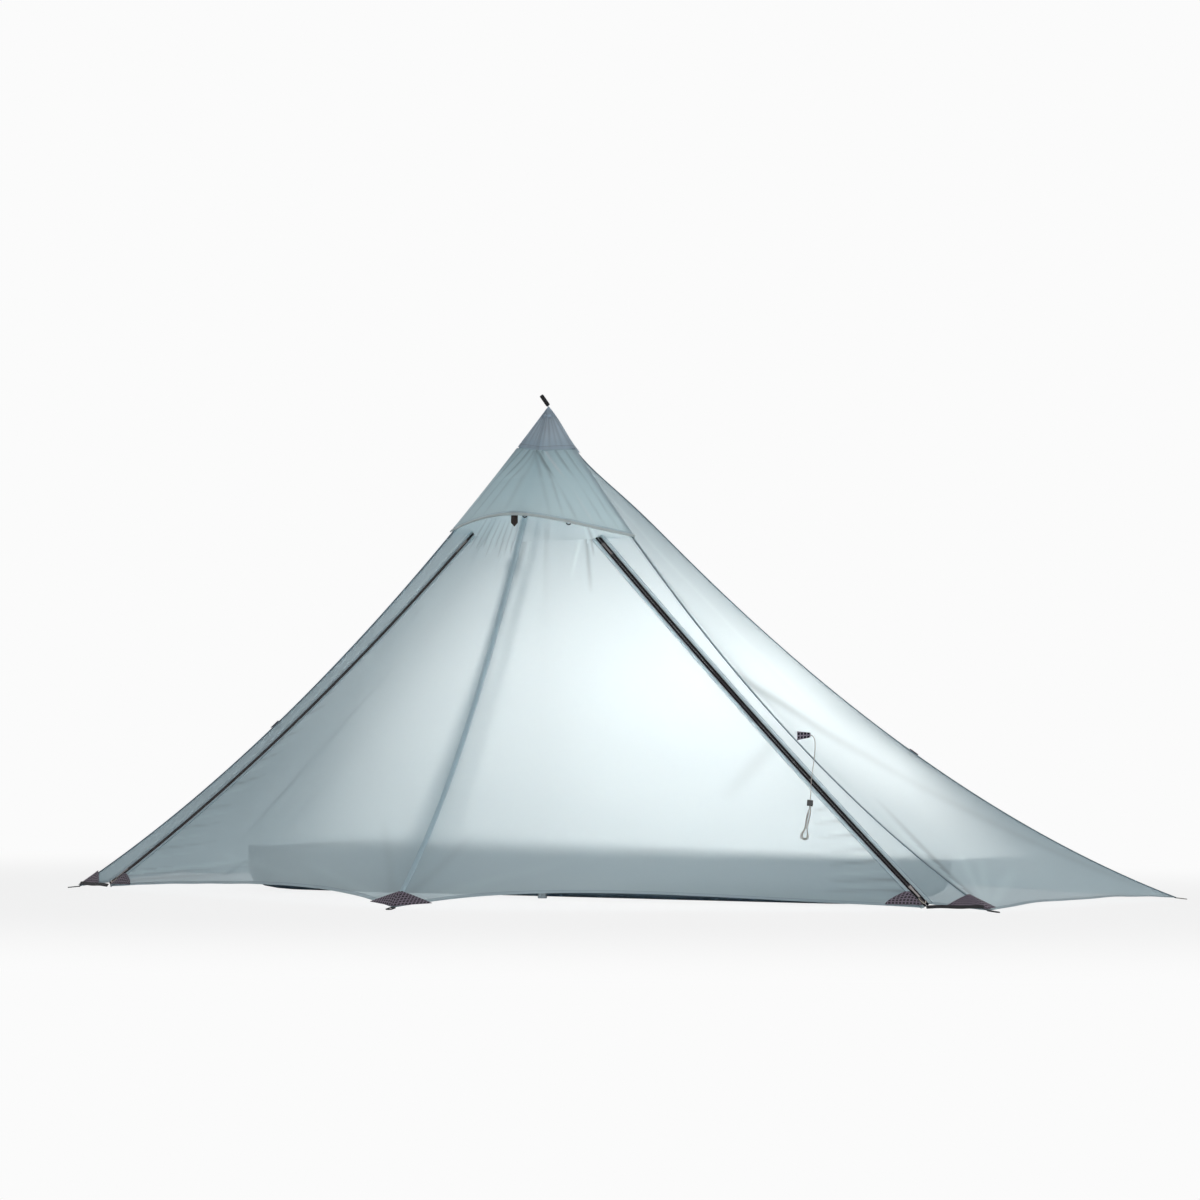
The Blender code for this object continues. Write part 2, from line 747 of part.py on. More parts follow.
def door_patch(face):
    """The gridstop patch on the door's foot corner, inward of the zip tape."""
    out = face.normal * DOOR_PATCH_RIDE
    rises = (TAPE_FOOT_CLEAR, DOOR_PATCH_RISE / 2, DOOR_PATCH_RISE)
    grid = []
    for rise, width_share in zip(rises, door_patch_width_shares):
        down_share = 1 - rise / face.zip_length
        width = np.linalg.norm(face.on_cloth(down_share, 1) - face.on_cloth(down_share, 0))
        steps = np.linspace(0, DOOR_PATCH_WIDTH * width_share / width, 4)
        grid.append([face.on_cloth(down_share, step) + out for step in steps])
    return sheet(f"patch_door_{face.side}", [np.array(grid)], PATCH_THICKNESS, gridstop)


def hem_strap(face):
    """The black webbing from the side tie-out to the foot of the zip, along the strip's hem."""
    start = corner(face.side) + face.hem * STRAP_WIDTH
    end = face.zip_foot - face.hem * STRAP_TO_ZIP
    out = seam_room + 2 * PATCH_THICKNESS + STRAP_THICKNESS
    middle = (start + end) / 2 + face.normal * out
    middle[2] = max(middle[2], STRAP_WIDTH / 2 + GAP)
    size = (np.linalg.norm(end - start), STRAP_WIDTH, STRAP_THICKNESS)
    return block(f"strap_{face.side}", size, frame(middle, face.hem, face.normal), webbing)


def zip_hook(face):
    """The wire hook on the door's foot corner that clips to the strap's end."""
    out = TAPE_THICKNESS / 2 + HOOK_WIRE + GAP
    base = face.zip_length - TAPE_FOOT_CLEAR
    angles = np.linspace(0, math.pi, 7)
    radius = HOOK_LENGTH / 4
    bend = [(base - radius + radius * math.sin(a), radius * math.cos(a)) for a in angles]
    shank = [(base - HOOK_LENGTH, bend[0][1])]
    points = [face.on_zip(down) + face.inward * side + face.normal * out for down, side in shank + bend]
    return tube(f"hook_{face.side}", points, HOOK_WIRE, zip_metal)


def tie_out(ridge):
    """A webbing stake loop flat on the ground at a corner."""
    foot = corner(ridge)
    out = unit([foot[0], foot[1], 0])
    middle = foot + out * (TIE_LENGTH / 2 - SEAM_RADIUS)
    middle[2] = TIE_THICKNESS / 2
    outline = slot_ring(TIE_LENGTH, TIE_WIDTH)
    hole = slot_ring(TIE_SLOT_LENGTH, TIE_SLOT_WIDTH)
    finish = cord_white if ridge.startswith("rear") else webbing
    return plate(f"tie_out_{ridge}", outline, TIE_THICKNESS, frame(middle, out, (0, 0, 1)), finish, hole)


def ridge_tab(ridge):
    """A tapered gridstop tab that stands out from a ridge seam, with the cord hole at its tip."""
    spot = along(ridge, tab_share)
    out = unit([spot[0], spot[1], 0])
    tangent = unit(corner(ridge) - apex)
    lean = TAB_ROOT / 2 * np.array([0, 0, 1.0])
    slope = -tangent[2] / (tangent @ out)
    room = TAB_STANDOFF
    outline = [
        (room, -room * slope + TAB_ROOT / 2),
        (room, -room * slope - TAB_ROOT / 2 + room),
        (TAB_LENGTH, -TAB_TIP / 2),
        (TAB_LENGTH, TAB_TIP / 2),
    ]
    matrix = frame(spot + lean, out, np.cross(out, [0, 0, 1.0]))
    return plate(f"tab_{ridge}", outline, TAB_THICKNESS, matrix, gridstop)


def on_seam(ridge, share):
    """A point of a ridge's seam, straight from station to station, and the seam's direction there."""
    stations = along(ridge, ridge_shares)
    after = np.searchsorted(ridge_shares, share)
    span = ridge_shares[after] - ridge_shares[after - 1]
    run = stations[after] - stations[after - 1]
    return stations[after - 1] + run * (share - ridge_shares[after - 1]) / span, unit(run)


def lying_tab(ridge, beyond):
    """A ridge tab that holds no cord: it lies over its seam and down the panel toward another ridge."""
    spot, tangent = on_seam(ridge, tab_share)
    way = on_seam(beyond, tab_share)[0] - spot
    way = unit(way - tangent * (way @ tangent))
    normal = np.cross(tangent, way)
    normal = normal if normal[2] > 0 else -normal
    root = spot + normal * (SEAM_RADIUS + GAP + TAB_THICKNESS / 2)
    tip = spot + way * TAB_LENGTH + normal * TAB_REST
    back = -SEAM_RADIUS
    front = TAB_LENGTH - SEAM_RADIUS
    outline = [(back, -TAB_ROOT / 2), (front, -TAB_TIP / 2), (front, TAB_TIP / 2), (back, TAB_ROOT / 2)]
    return plate(f"tab_{ridge}", outline, TAB_THICKNESS, frame(root, tip - root, normal), gridstop)


for side, face in faces.items():
    strip_edge = face.beside_zip(fold_steps, -1)
    side_edge = along(f"rear_{side}", ridge_shares)
    widths = (PATCH_ON_HEM, PATCH_PAST_CORNER)
    corner_patch(f"patch_{side}", side, strip_edge, side_edge, widths, PATCH_ON_RIDGE)
    hem_strap(face)
    foot_pieces = (door_patch(face), zip_hook(face))
    if side == "left":
        carry(hinge, *foot_pieces)

folds = [across(face.fold_top[None], face.fold_foot[None], fold_steps)[0] for face in faces.values()]
front_widths = (FRONT_PATCH_SIDE, FRONT_PATCH_SIDE)
corner_patch("patch_front", "front", folds[0], folds[1], front_widths, FRONT_PATCH_RISE)

for ridge in ridge_ends:
    tie_out(ridge)

ridge_tab("right")
lying_tab("left", "rear_left")
lying_tab("rear_right", "rear_left")
lying_tab("rear_left", "rear_right")


def guyline(face):
    """The cord from the ridge tab to its line-lock, hanging clear over the zip. Returns its lower end."""
    tip = along(face.side, tab_share)
    out = unit([tip[0], tip[1], 0])
    start = tip + np.array([0, 0, TAB_ROOT / 2]) + out * (TAB_LENGTH + GAP)
    crossing = face.above(*GUY_CROSSING)
    lock = face.above(*GUY_LOCK)
    run = unit(lock - crossing)
    share = np.linspace(0, 1, round(np.linalg.norm(crossing - start) / CORD_STEP))[:, None]
    handles = (start, start + out * GUY_HANDLE, crossing - run * GUY_HANDLE, crossing)
    weights = ((1 - share) ** 3, 3 * share * (1 - share) ** 2, 3 * share**2 * (1 - share), share**3)
    bend = sum(weight * spot for weight, spot in zip(weights, handles))
    end = lock + run * GUY_TAIL
    tube("guyline", np.concatenate([bend, [lock, end]]), CORD_RADIUS, cord_white)

    half_width = LOCK_PLATE / 2
    half_depth = LOCK_DEPTH / 2
    near_side = [(-half_width, -half_depth), (half_width, -half_depth)]
    outline = near_side + [(-x, -y) for x, y in near_side]
    angles = np.linspace(0, 2 * math.pi, 17)[:-1]
    hole = [(CORD_HOLE * math.cos(a), CORD_HOLE * math.sin(a)) for a in angles]
    matrix = frame(lock, np.cross(run, face.normal), run)
    made = plate("line_lock", outline, LOCK_PLATE, matrix, plastic, hole)
    carry(pivot("line_lock_slide", lock, -run), made)
    return end, run


def hank_outline(sides):
    """One loop of the hank at even steps: how far down it lies and how far across, both as shares."""
    way = np.array(hank_way_shares)
    width = np.array(hank_width_shares)
    down = np.concatenate([way, way[-2::-1]])
    over = np.concatenate([width, -width[-2::-1]])
    step = np.hypot(np.diff(down) * HANK_LENGTH, np.diff(over) * HANK_HALF_WIDTH)
    run = np.concatenate([[0], np.cumsum(step)])
    places = np.linspace(0, run[-1], sides + 1)
    return np.interp(places, run, down), np.interp(places, run, over)


def guyline_hank(face, end, run):
    """The rest of the cord, wound in three long loops that lie on one another."""
    foot = face.above(*HANK_FOOT)
    start = end + run * GAP
    down = unit(foot - start)
    over = unit(np.cross(down, face.normal))
    off = np.cross(over, down)
    off = off if off @ face.normal > 0 else -off
    ways, widths = hank_outline(points_per_loop)
    turn = np.arange(2, hank_loops * points_per_loop + 1)
    step = turn % points_per_loop
    along_hank = (HANK_LEAD + ways[step] * HANK_LENGTH)[:, None] * down
    across_hank = (widths[step] * HANK_HALF_WIDTH)[:, None] * over
    off_hank = (turn / points_per_loop * HANK_PITCH)[:, None] * off
    loops = start + along_hank + across_hank + off_hank
    points = np.concatenate([[start, start + run * HANK_LEAD / 2], loops])
    tube("guyline_hank", points, CORD_RADIUS, cord_white)


def pole():
    """The pole: a bored lower tube with foot and collar, a sliding upper tube and the lock lever."""
    lower_profile = [
        (0, POLE_FOOT_HEIGHT),
        (POLE_LOWER_BORE, POLE_FOOT_HEIGHT),
        (POLE_LOWER_BORE, POLE_LOWER_LENGTH),
        (LOCK_RADIUS, POLE_LOWER_LENGTH),
        (LOCK_RADIUS, POLE_LOWER_LENGTH - LOCK_HEIGHT),
        (POLE_LOWER_RADIUS, POLE_LOWER_LENGTH - LOCK_HEIGHT),
        (POLE_LOWER_RADIUS, POLE_FOOT_HEIGHT),
        (POLE_FOOT_RADIUS, POLE_FOOT_HEIGHT / 2),
        (POLE_FOOT_RADIUS, 0),
        (0, 0),
    ]
    turned("pole_lower", lower_profile, pole_metal)
    tip = PEAK_HEIGHT - POCKET_DROP - POCKET_HEIGHT - GAP
    shoulder = tip - POLE_TIP_HEIGHT
    upper_profile = [
        (0, tip),
        (POLE_TIP_RADIUS, tip),
        (POLE_UPPER_RADIUS, shoulder),
        (POLE_UPPER_RADIUS, POLE_UPPER_BOTTOM),
        (0, POLE_UPPER_BOTTOM),
    ]
    upper = turned("pole_upper", upper_profile, pole_metal)
    carry(pivot("pole_slide", (0, 0, POLE_UPPER_BOTTOM)), upper)

    hinge_spot = Vector((0, -LOCK_RADIUS - LEVER_THICKNESS, POLE_LOWER_LENGTH - LEVER_THICKNESS))
    middle = hinge_spot + Vector((0, 0, LEVER_OVER_HINGE - LEVER_LENGTH / 2))
    middle.y = -LOCK_RADIUS - GAP - LEVER_THICKNESS / 2
    lever_size = (LEVER_WIDTH, LEVER_THICKNESS, LEVER_LENGTH)
    lever = block("pole_lever", lever_size, Matrix.Translation(middle), plastic)
    carry(pivot("lever_hinge", hinge_spot, (-1, 0, 0)), lever)


guyline_hank(faces["right"], *guyline(faces["right"]))
pole()


def inner_tent():
    """The inner tent behind the pole: a bathtub floor and five mesh panels that rise to its peak."""
    half = INNER_HALF_LENGTH
    back = INNER_FRONT + INNER_DEPTH
    middle_y = INNER_FRONT + INNER_DEPTH / 2
    tub_size = (2 * half, INNER_DEPTH, TUB_WALL)
    tub = block("inner_floor", tub_size, Matrix.Translation((0, middle_y, TUB_WALL / 2)), floor_cloth)
    hollow_size = (2 * (half - TUB_CLOTH), INNER_DEPTH - 2 * TUB_CLOTH, TUB_WALL)
    lifted = Matrix.Translation((0, middle_y, TUB_WALL / 2 + TUB_CLOTH))
    cut(tub, block("tub_hollow", hollow_size, lifted, floor_cloth, cutters))

    peak = Vector((0, INNER_FRONT + INNER_PEAK_BACK, INNER_PEAK))
    rim = TUB_WALL + GAP
    left = Vector((-half, INNER_FRONT + TUB_CLOTH / 2, rim))
    right = Vector((half, INNER_FRONT + TUB_CLOTH / 2, rim))
    rear_left = Vector((-half, back - TUB_CLOTH / 2, rim))
    rear_right = Vector((half, back - TUB_CLOTH / 2, rim))
    mesh_panel("inner_rear", rear_right, rear_left, peak)
    mesh_panel("inner_left", rear_left, left, peak)
    mesh_panel("inner_right", right, rear_right, peak)
    inner_front(left, right, peak)


def flat_frame(first, second, third):
    """A matrix whose XY plane holds three points, with its origin at the first and X toward the second."""
    side = second - first
    return frame(first, side, side.cross(third - first))


def mesh_panel(name, first, second, peak):
    """A flat triangle of mesh, drawn in from its neighbours by the mesh's own thickness."""
    matrix = flat_frame(first, second, peak)
    flat = [matrix.inverted() @ spot for spot in (first, second, peak)]
    centre = (flat[0] + flat[1] + flat[2]) / 3
    outline = []
    neighbours = ((flat[2], flat[1]), (flat[0], flat[2]), (flat[1], flat[0]))
    for spot, (before, after) in zip(flat, neighbours):
        one = (before - spot).normalized()
        two = (after - spot).normalized()
        angle = one.angle(two)
        moved = spot + (one + two) * MESH_INSET / math.sin(angle)
        outline.append(moved)
    base = min(outline[0].y, outline[1].y) - MESH / 2 - GAP
    ring = [(spot.x, spot.y) for spot in outline]
    ring[0] = (ring[0][0] - base * (centre.x < 0), ring[0][1] - base)
    ring[1] = (ring[1][0], ring[1][1] - base)
    return plate(name, ring, MESH, matrix, mesh_cloth)


def inner_front(left, right, peak):
    """The front mesh wall with a door panel in its right half, and the door's zip slider."""
    matrix = flat_frame(left, right, peak)
    tip = matrix.inverted() @ peak
    width = (right - left).length
    edge = MESH / 2
    start = width / 2 + INNER_DOOR_START
    slope = INNER_DOOR_WIDTH / INNER_DOOR_TOP
    outline = [
        (INNER_INSET, edge),
        (start, edge),
        (start, INNER_DOOR_TOP + DOOR_GAP),
        (start + INNER_DOOR_WIDTH + slope * DOOR_GAP, edge),
        (width - INNER_INSET, edge),
        (tip.x, tip.y - INNER_INSET),
    ]
    plate("inner_front", outline, MESH, matrix, mesh_cloth)
    zip_line = start + DOOR_GAP
    panel = [
        (zip_line, edge),
        (start + INNER_DOOR_WIDTH - DOOR_GAP, edge),
        (zip_line, INNER_DOOR_TOP - DOOR_GAP / slope - DOOR_GAP),
    ]
    door = plate("inner_door", panel, MESH, matrix, mesh_cloth)
    low = matrix @ Vector((panel[1][0], panel[1][1], -MESH))
    high = matrix @ Vector((panel[2][0], panel[2][1], -MESH))
    hinge = pivot("inner_door_hinge", low, high - low)
    spot = matrix.copy()
    out = MESH / 2 + GAP + SLIDER_HEIGHT / 2
    spot.translation = matrix @ Vector((start + DOOR_GAP / 2, SLIDER_LENGTH, out))
    size = (SLIDER_WIDTH, SLIDER_LENGTH, SLIDER_HEIGHT)
    zip_slider = block("inner_slider", size, spot, zip_metal)
    zip_way = pivot("inner_zip_line", spot.translation, matrix.col[1].to_3d())
    carry(zip_way, zip_slider)
    carry(hinge, door, zip_way)


inner_tent()
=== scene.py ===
# %% [markdown]
# A pyramid tent: five panels of thin coated cloth over one pole, with a mesh inner tent inside.
#
# The CAD model fixes where every piece is. This script dresses it. Real tent cloth is a tenth of a
# millimetre thick and lets light through, so each panel here is a single curved sheet with a shader that
# reflects, glows and shows a little of what lies behind it.
#
# A ridge is a seam pulled tight between the peak and a stake. It hangs in a shallow curve, so it is
# written as a straight run minus a parabola, and each panel is ruled between two such curves.

import math

import bmesh
import bpy
import numpy as np
from mathutils import Matrix, Vector


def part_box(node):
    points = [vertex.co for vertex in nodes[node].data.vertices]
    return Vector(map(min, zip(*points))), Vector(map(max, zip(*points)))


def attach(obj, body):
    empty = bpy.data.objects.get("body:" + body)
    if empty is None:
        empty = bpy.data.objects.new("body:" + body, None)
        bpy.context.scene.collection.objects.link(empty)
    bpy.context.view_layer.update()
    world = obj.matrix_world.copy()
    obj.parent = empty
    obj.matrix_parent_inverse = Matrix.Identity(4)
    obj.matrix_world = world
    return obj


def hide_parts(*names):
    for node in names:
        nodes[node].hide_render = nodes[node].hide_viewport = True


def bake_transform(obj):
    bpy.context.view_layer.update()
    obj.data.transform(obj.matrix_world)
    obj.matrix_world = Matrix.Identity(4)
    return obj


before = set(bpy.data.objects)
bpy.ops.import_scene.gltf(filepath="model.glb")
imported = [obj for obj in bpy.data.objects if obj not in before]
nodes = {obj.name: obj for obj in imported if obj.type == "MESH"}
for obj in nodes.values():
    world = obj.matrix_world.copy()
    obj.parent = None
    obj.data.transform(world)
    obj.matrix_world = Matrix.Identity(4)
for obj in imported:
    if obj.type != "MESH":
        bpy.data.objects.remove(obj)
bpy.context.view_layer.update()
scene = bpy.context.scene

# %% [markdown]
# The driving sizes are those of the CAD model, in metres. Everything else is worked out from them.

# %% Driving sizes
PEAK = 1.389
CORNER_LIFT = 0.006
CONE_LIFT = 0.011
# Each ridge's corner, as x and y, and how far the ridge sags.
RIDGES = {
    "front": (0.0, -1.05, 0.166),
    "right": (1.38, -0.18, 0.137),
    "left": (-1.38, -0.18, 0.115),
    "rear_right": (1.54, 1.15, 0.175),
    "rear_left": (-1.54, 1.15, 0.175),
}
# How far down a ridge the panels, the zips and the middle of the rear ridges' pinch lie, as shares of it.
TOP_SHARE = 0.045
DOOR_SHARE = 0.20
PINCH_SHARE = 0.070
PINCH = 0.028
# Where the zip and the fold line start across the front wall, and where they end along its hem.
ZIP_ACROSS = 0.30
FOLD_ACROSS = 0.42
ZIP_TO_CORNER = 0.170
FOLD_TO_FRONT = 0.36
ZIP_SAG = {"left": 0.050, "right": 0.015}
TAPE_HALF = 0.0115
ARCH_FRONT = 0.030
ARCH_SIDE = 0.015
ARCH_REAR = 0.030
CORD = 0.0022
# A distance beyond every edge, for cloth that has no tape or hem.
FAR = 9.0

apex = np.array([0.0, 0.0, PEAK])
UP = np.array([0.0, 0.0, 1.0])


def unit(vector):
    """A vector, or an array of them, at length one."""
    vector = np.asarray(vector, float)
    return vector / np.maximum(np.linalg.norm(vector, axis=-1, keepdims=True), 1e-12)


def corner(ridge):
    """The stake corner at a ridge's foot."""
    return np.array([*RIDGES[ridge][:2], CORNER_LIFT])


def ridge_out(ridge, rise=0.0):
    """The way out from the pole under a ridge, with a rise for each metre out."""
    x, y, _ = RIDGES[ridge]
    return unit([x, y, rise * np.hypot(x, y)])


def ridge_line(ridge, share):
    """Points of a ridge: apex + (corner - apex)·s - 4·sag·s·(1 - s)·Z.

    The photograph shows the rear ridges drawn in just under the peak, by pinch·(s/p)²·exp(1 - (s/p)²).
    """
    share = np.asarray(share, float)[..., None]
    line = apex + (corner(ridge) - apex) * share - 4 * RIDGES[ridge][2] * share * (1 - share) * UP
    if ridge.startswith("rear"):
        place = (share / PINCH_SHARE) ** 2
        line = line - ridge_out(ridge) * PINCH * place * np.exp(1 - place)
    return line


print("front ridge", round(float(np.linalg.norm(corner("front") - apex)), 3), "m")

# %% [markdown]
# Two kinds of mesh carry nearly everything: a grid of points for cloth, and a profile swept along a line
# for seams, cords, webbing and hems. Both are numpy arrays handed to Blender in one call, with a UV map in
# metres so that a weave keeps its size on every piece.


# %% Mesh tools
def grid_piece(name, points, material, attributes=None, uv=None, wrap=False):
    """A sheet from an array of points, rows by columns. UVs are the lengths run along both ways."""
    rows, columns = points.shape[:2]
    index = np.arange(rows * columns).reshape(rows, columns)
    if wrap:
        index = np.concatenate([index, index[:, :1]], axis=1)
    ring = (index[:-1, :-1], index[1:, :-1], index[1:, 1:], index[:-1, 1:])
    faces = np.stack(ring, axis=-1).reshape(-1, 4)
    mesh = bpy.data.meshes.new(name)
    mesh.from_pydata(points.reshape(-1, 3).tolist(), [], faces.tolist())
    if uv is None:
        down = np.linalg.norm(np.diff(points, axis=0), axis=2).cumsum(axis=0)
        over = np.linalg.norm(np.diff(points, axis=1), axis=2).cumsum(axis=1)
        down = np.concatenate([np.zeros((1, columns)), down])
        over = np.concatenate([np.zeros((rows, 1)), over], axis=1)
        middle = over[:, columns // 2][:, None]
        uv = np.stack([over - middle, down], axis=-1)
    loops = np.empty(len(mesh.loops), int)
    mesh.loops.foreach_get("vertex_index", loops)
    layer = mesh.uv_layers.new(name="metres")
    layer.data.foreach_set("uv", uv.reshape(-1, 2)[loops].ravel())
    for key, values in (attributes or {}).items():
        store = mesh.attributes.new(key, "FLOAT", "POINT")
        store.data.foreach_set("value", np.broadcast_to(values, (rows, columns)).ravel())
    mesh.shade_smooth()
    mesh.materials.append(material)
    made = bpy.data.objects.new(name, mesh)
    scene.collection.objects.link(made)
    return made


def dress(piece, body, slot, *replaced):
    """Hang a piece on its body's empty and hide the CAD nodes that it replaces. The slot is not used."""
    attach(piece, body)
    if replaced:
        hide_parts(*replaced)


def sweep(name, line, reference, profile, material, body, slot, *replaced, closed=False):
    """A profile of (across, up) pairs carried along a line, with up square to it and nearest reference."""
    line = np.asarray(line, float)
    if closed:
        tangent = unit(np.gradient(np.concatenate([line[-1:], line, line[:1]]), axis=0)[1:-1])
    else:
        tangent = unit(np.gradient(line, axis=0))
    reference = np.broadcast_to(np.asarray(reference, float), line.shape)
    side = unit(np.cross(tangent, reference))
    up = np.cross(side, tangent)
    points = line[:, None] + side[:, None] * profile[None, :, :1] + up[:, None] * profile[None, :, 1:]
    run = np.concatenate([[0], np.linalg.norm(np.diff(line, axis=0), axis=1).cumsum()])
    uv = np.stack(np.meshgrid(np.linspace(0, 1, len(profile)), run), axis=-1)
    if closed:
        points = np.concatenate([points, points[:1]])
        uv = np.concatenate([uv, uv[:1] + [0, run[1]]])
    made = grid_piece(name, points[:, ::-1], material, uv=uv, wrap=True)
    if not closed:
        close_ends(made, len(profile), len(line))
    dress(made, body, slot, *replaced)
    return made


def close_ends(obj, around, stations):
    """Close the two ends of a swept tube with one face each."""
    last = around * (stations - 1)
    work = bmesh.new()
    work.from_mesh(obj.data)
    work.verts.ensure_lookup_table()
    work.faces.new([work.verts[i] for i in range(around)])
    work.faces.new([work.verts[last + i] for i in reversed(range(around))])
    work.to_mesh(obj.data)
    work.free()


def squircle(turn, power):
    """Points of a rounded square, x = sign(cos t)·|cos t|ᵖ and y = sign(sin t)·|sin t|ᵖ."""
    way = np.stack([np.cos(turn), np.sin(turn)], axis=1)
    return np.sign(way) * np.abs(way) ** power


def oval(width, height, sides=12, power=0.7):
    """A flattened round profile with soft shoulders. Power 1 makes it a plain ellipse."""
    return squircle(np.linspace(0, 2 * math.pi, sides, endpoint=False), power) * [width / 2, height / 2]


def ruled(first, second, shares):
    """Straight rulings between two edges, at shares of the way across."""
    shares = np.asarray(shares, float)[None, :, None]
    return first[:, None] * (1 - shares) + second[:, None] * shares


def grid_normals(points):
    """The outward normals of a grid, taken from the runs along its rows and columns."""
    normal = unit(np.cross(np.gradient(points, axis=0), np.gradient(points, axis=1)))
    centre = np.array([0.0, 0.25, 0.0])
    outward = np.sum((points - centre) * normal, axis=2).mean()
    return normal if outward > 0 else -normal


def creased(points, lines):
    """Raise soft creases on a grid: height·exp(-(d/width)²), with d the distance from the crease's line.

    Each line is (row, column, row, column, width, height), with rows and columns as shares of the grid.
    Returns the moved grid and a mark for the shader, from -1 in a hollow crease to 1 on a raised one. The
    shader paints a raised crease darker, as painted shade, and a hollow one paler, as a painted highlight.
    """
    normal = grid_normals(points)
    rows, columns = points.shape[:2]
    lift = np.zeros((rows, columns))
    mark = np.zeros((rows, columns))
    for r0, c0, r1, c1, width, height in lines:
        a = points[round(r0 * (rows - 1)), round(c0 * (columns - 1))]
        b = points[round(r1 * (rows - 1)), round(c1 * (columns - 1))]
        along = np.clip(((points - a) @ (b - a)) / ((b - a) @ (b - a)), 0, 1)
        apart = np.linalg.norm(points - (a + along[..., None] * (b - a)), axis=2)
        shape = np.exp(-((apart / width) ** 2)) * (1 - along**3)
        lift += height * shape
        signed = shape * np.clip(height / 0.003, -1, 1)
        mark = np.where(np.abs(signed) > np.abs(mark), signed, mark)
    return points + normal * lift[..., None], mark


def length_of(line):
    """The length of a line of points."""
    return float(np.linalg.norm(np.diff(line, axis=0), axis=1).sum())


def facing(vector, way):
    """The vector, turned round where it points against a way."""
    return vector if vector @ way > 0 else -vector


def thicken(piece, thickness, offset=0):
    """Give a sheet some thickness, on both sides of it (0), outside (1) or inside (-1)."""
    made = piece.modifiers.new("thickness", "SOLIDIFY")
    made.thickness = thickness
    made.offset = offset


def declare_cloth(piece, grid):
    """Print a cloth piece's size: the rectangle that it was cut from, and its area."""
    across = np.linalg.norm(np.diff(grid, axis=1), axis=2).sum(axis=1)
    height = float(np.linalg.norm(np.diff(grid, axis=0), axis=2).sum(axis=0).max())
    area = float(sum(face.area for face in piece.data.polygons))
    width = max(float(across.max()), area / height / 0.98)
    area = max(area, 0.31 * width * height)
    print(piece.name, "flat", round(width, 2), "by", round(height, 2), "m, area", round(area, 3))


SWELL_SIZES = (0.55, 0.32, 0.19)


def waves(points, seed, height):
    """Low uneven swells as real cloth has them: a sum of sines with seeded directions and phases."""
    rng = np.random.default_rng(seed)
    lift = np.zeros(points.shape[:2])
    for size in SWELL_SIZES:
        way = unit(rng.normal(size=3))
        lift += np.sin(points @ way * 2 * math.pi / size + rng.uniform(0, 6.3)) * size / SWELL_SIZES[0]
    return points + grid_normals(points) * (lift * height)[..., None]


# %% [markdown]
# Shaders. Thin coated nylon does three things with light: it reflects a little, it scatters light through
# to its other side, and it lets some pass straight, which is why the tub floor shows as a dark band.
# Where cloth is doubled, at a taped seam, a hem or the peak, less gets through.


# %% Shader tools
def new_material(name):
    """A material with an empty node tree, and that tree."""
    made = bpy.data.materials.new(name)
    made.use_nodes = True
    made.node_tree.nodes.clear()
    return made, made.node_tree


def node(tree, kind, inputs=None, **settings):
    """One shader node with its settings. Each input is set to a value, or joined to a node or a socket."""
    made = tree.nodes.new("ShaderNode" + kind)
    for key, value in settings.items():
        setattr(made, key, value)
    for key, value in (inputs or {}).items():
        if isinstance(value, bpy.types.Node):
            value = value.outputs[0]
        if isinstance(value, bpy.types.NodeSocket):
            tree.links.new(value, made.inputs[key])
        else:
            made.inputs[key].default_value = value
    return made


def maths(tree, operation, first, second=0.0, third=0.0):
    """The result of one Math node."""
    return node(tree, "Math", {0: first, 1: second, 2: third}, operation=operation).outputs[0]


def below(tree, value, edge, soft):
    """A mask that is 1 where a value is under an edge, with a soft border."""
    inputs = {"Value": value, "From Min": edge + soft, "From Max": edge - soft}
    return node(tree, "MapRange", inputs, interpolation_type="SMOOTHSTEP").outputs[0]


def tinted(tree, factor, first, second):
    """Two colours mixed by a factor."""
    return node(tree, "Mix", {0: factor, 6: first, 7: second}, data_type="RGBA").outputs[2]


def toned(colour, factor=1.0, most=1.0):
    """A colour made paler or darker by a factor, with an alpha of one."""
    return (*[min(most, c * factor) for c in colour], 1)


def finished(material, shader):
    """Join a shader to its material's output."""
    node(material.node_tree, "OutputMaterial", {0: shader})
    return material


def weave_group():
    """A shared weave: threads over and under, and thicker ripstop threads at a wider step."""
    group = bpy.data.node_groups.new("weave", "ShaderNodeTree")
    face = group.interface
    face.new_socket("Place", in_out="INPUT", socket_type="NodeSocketVector")
    for name, usual in (("Thread", 0.0006), ("Grid", 0.006), ("Share", 0.09)):
        face.new_socket(name, in_out="INPUT", socket_type="NodeSocketFloat").default_value = usual
    for name in ("Threads", "Lines"):
        face.new_socket(name, in_out="OUTPUT", socket_type="NodeSocketFloat")
    start = group.nodes.new("NodeGroupInput")
    end = group.nodes.new("NodeGroupOutput")
    split = node(group, "SeparateXYZ", {0: start})
    threads = []
    lines = []
    for axis in ("X", "Y"):
        count = maths(group, "DIVIDE", split.outputs[axis], start.outputs["Thread"])
        threads.append(maths(group, "SINE", maths(group, "MULTIPLY", count, math.pi)))
        step = maths(group, "DIVIDE", split.outputs[axis], start.outputs["Grid"])
        past = maths(group, "SUBTRACT", maths(group, "PINGPONG", step, 0.5), start.outputs["Share"])
        lines.append(node(group, "MapRange", {"Value": past, "From Min": 0.04, "From Max": -0.04}))
    group.links.new(maths(group, "MULTIPLY", threads[0], threads[1]), end.inputs["Threads"])
    group.links.new(maths(group, "MAXIMUM", lines[0], lines[1]), end.inputs["Lines"])
    return group


weave = weave_group()


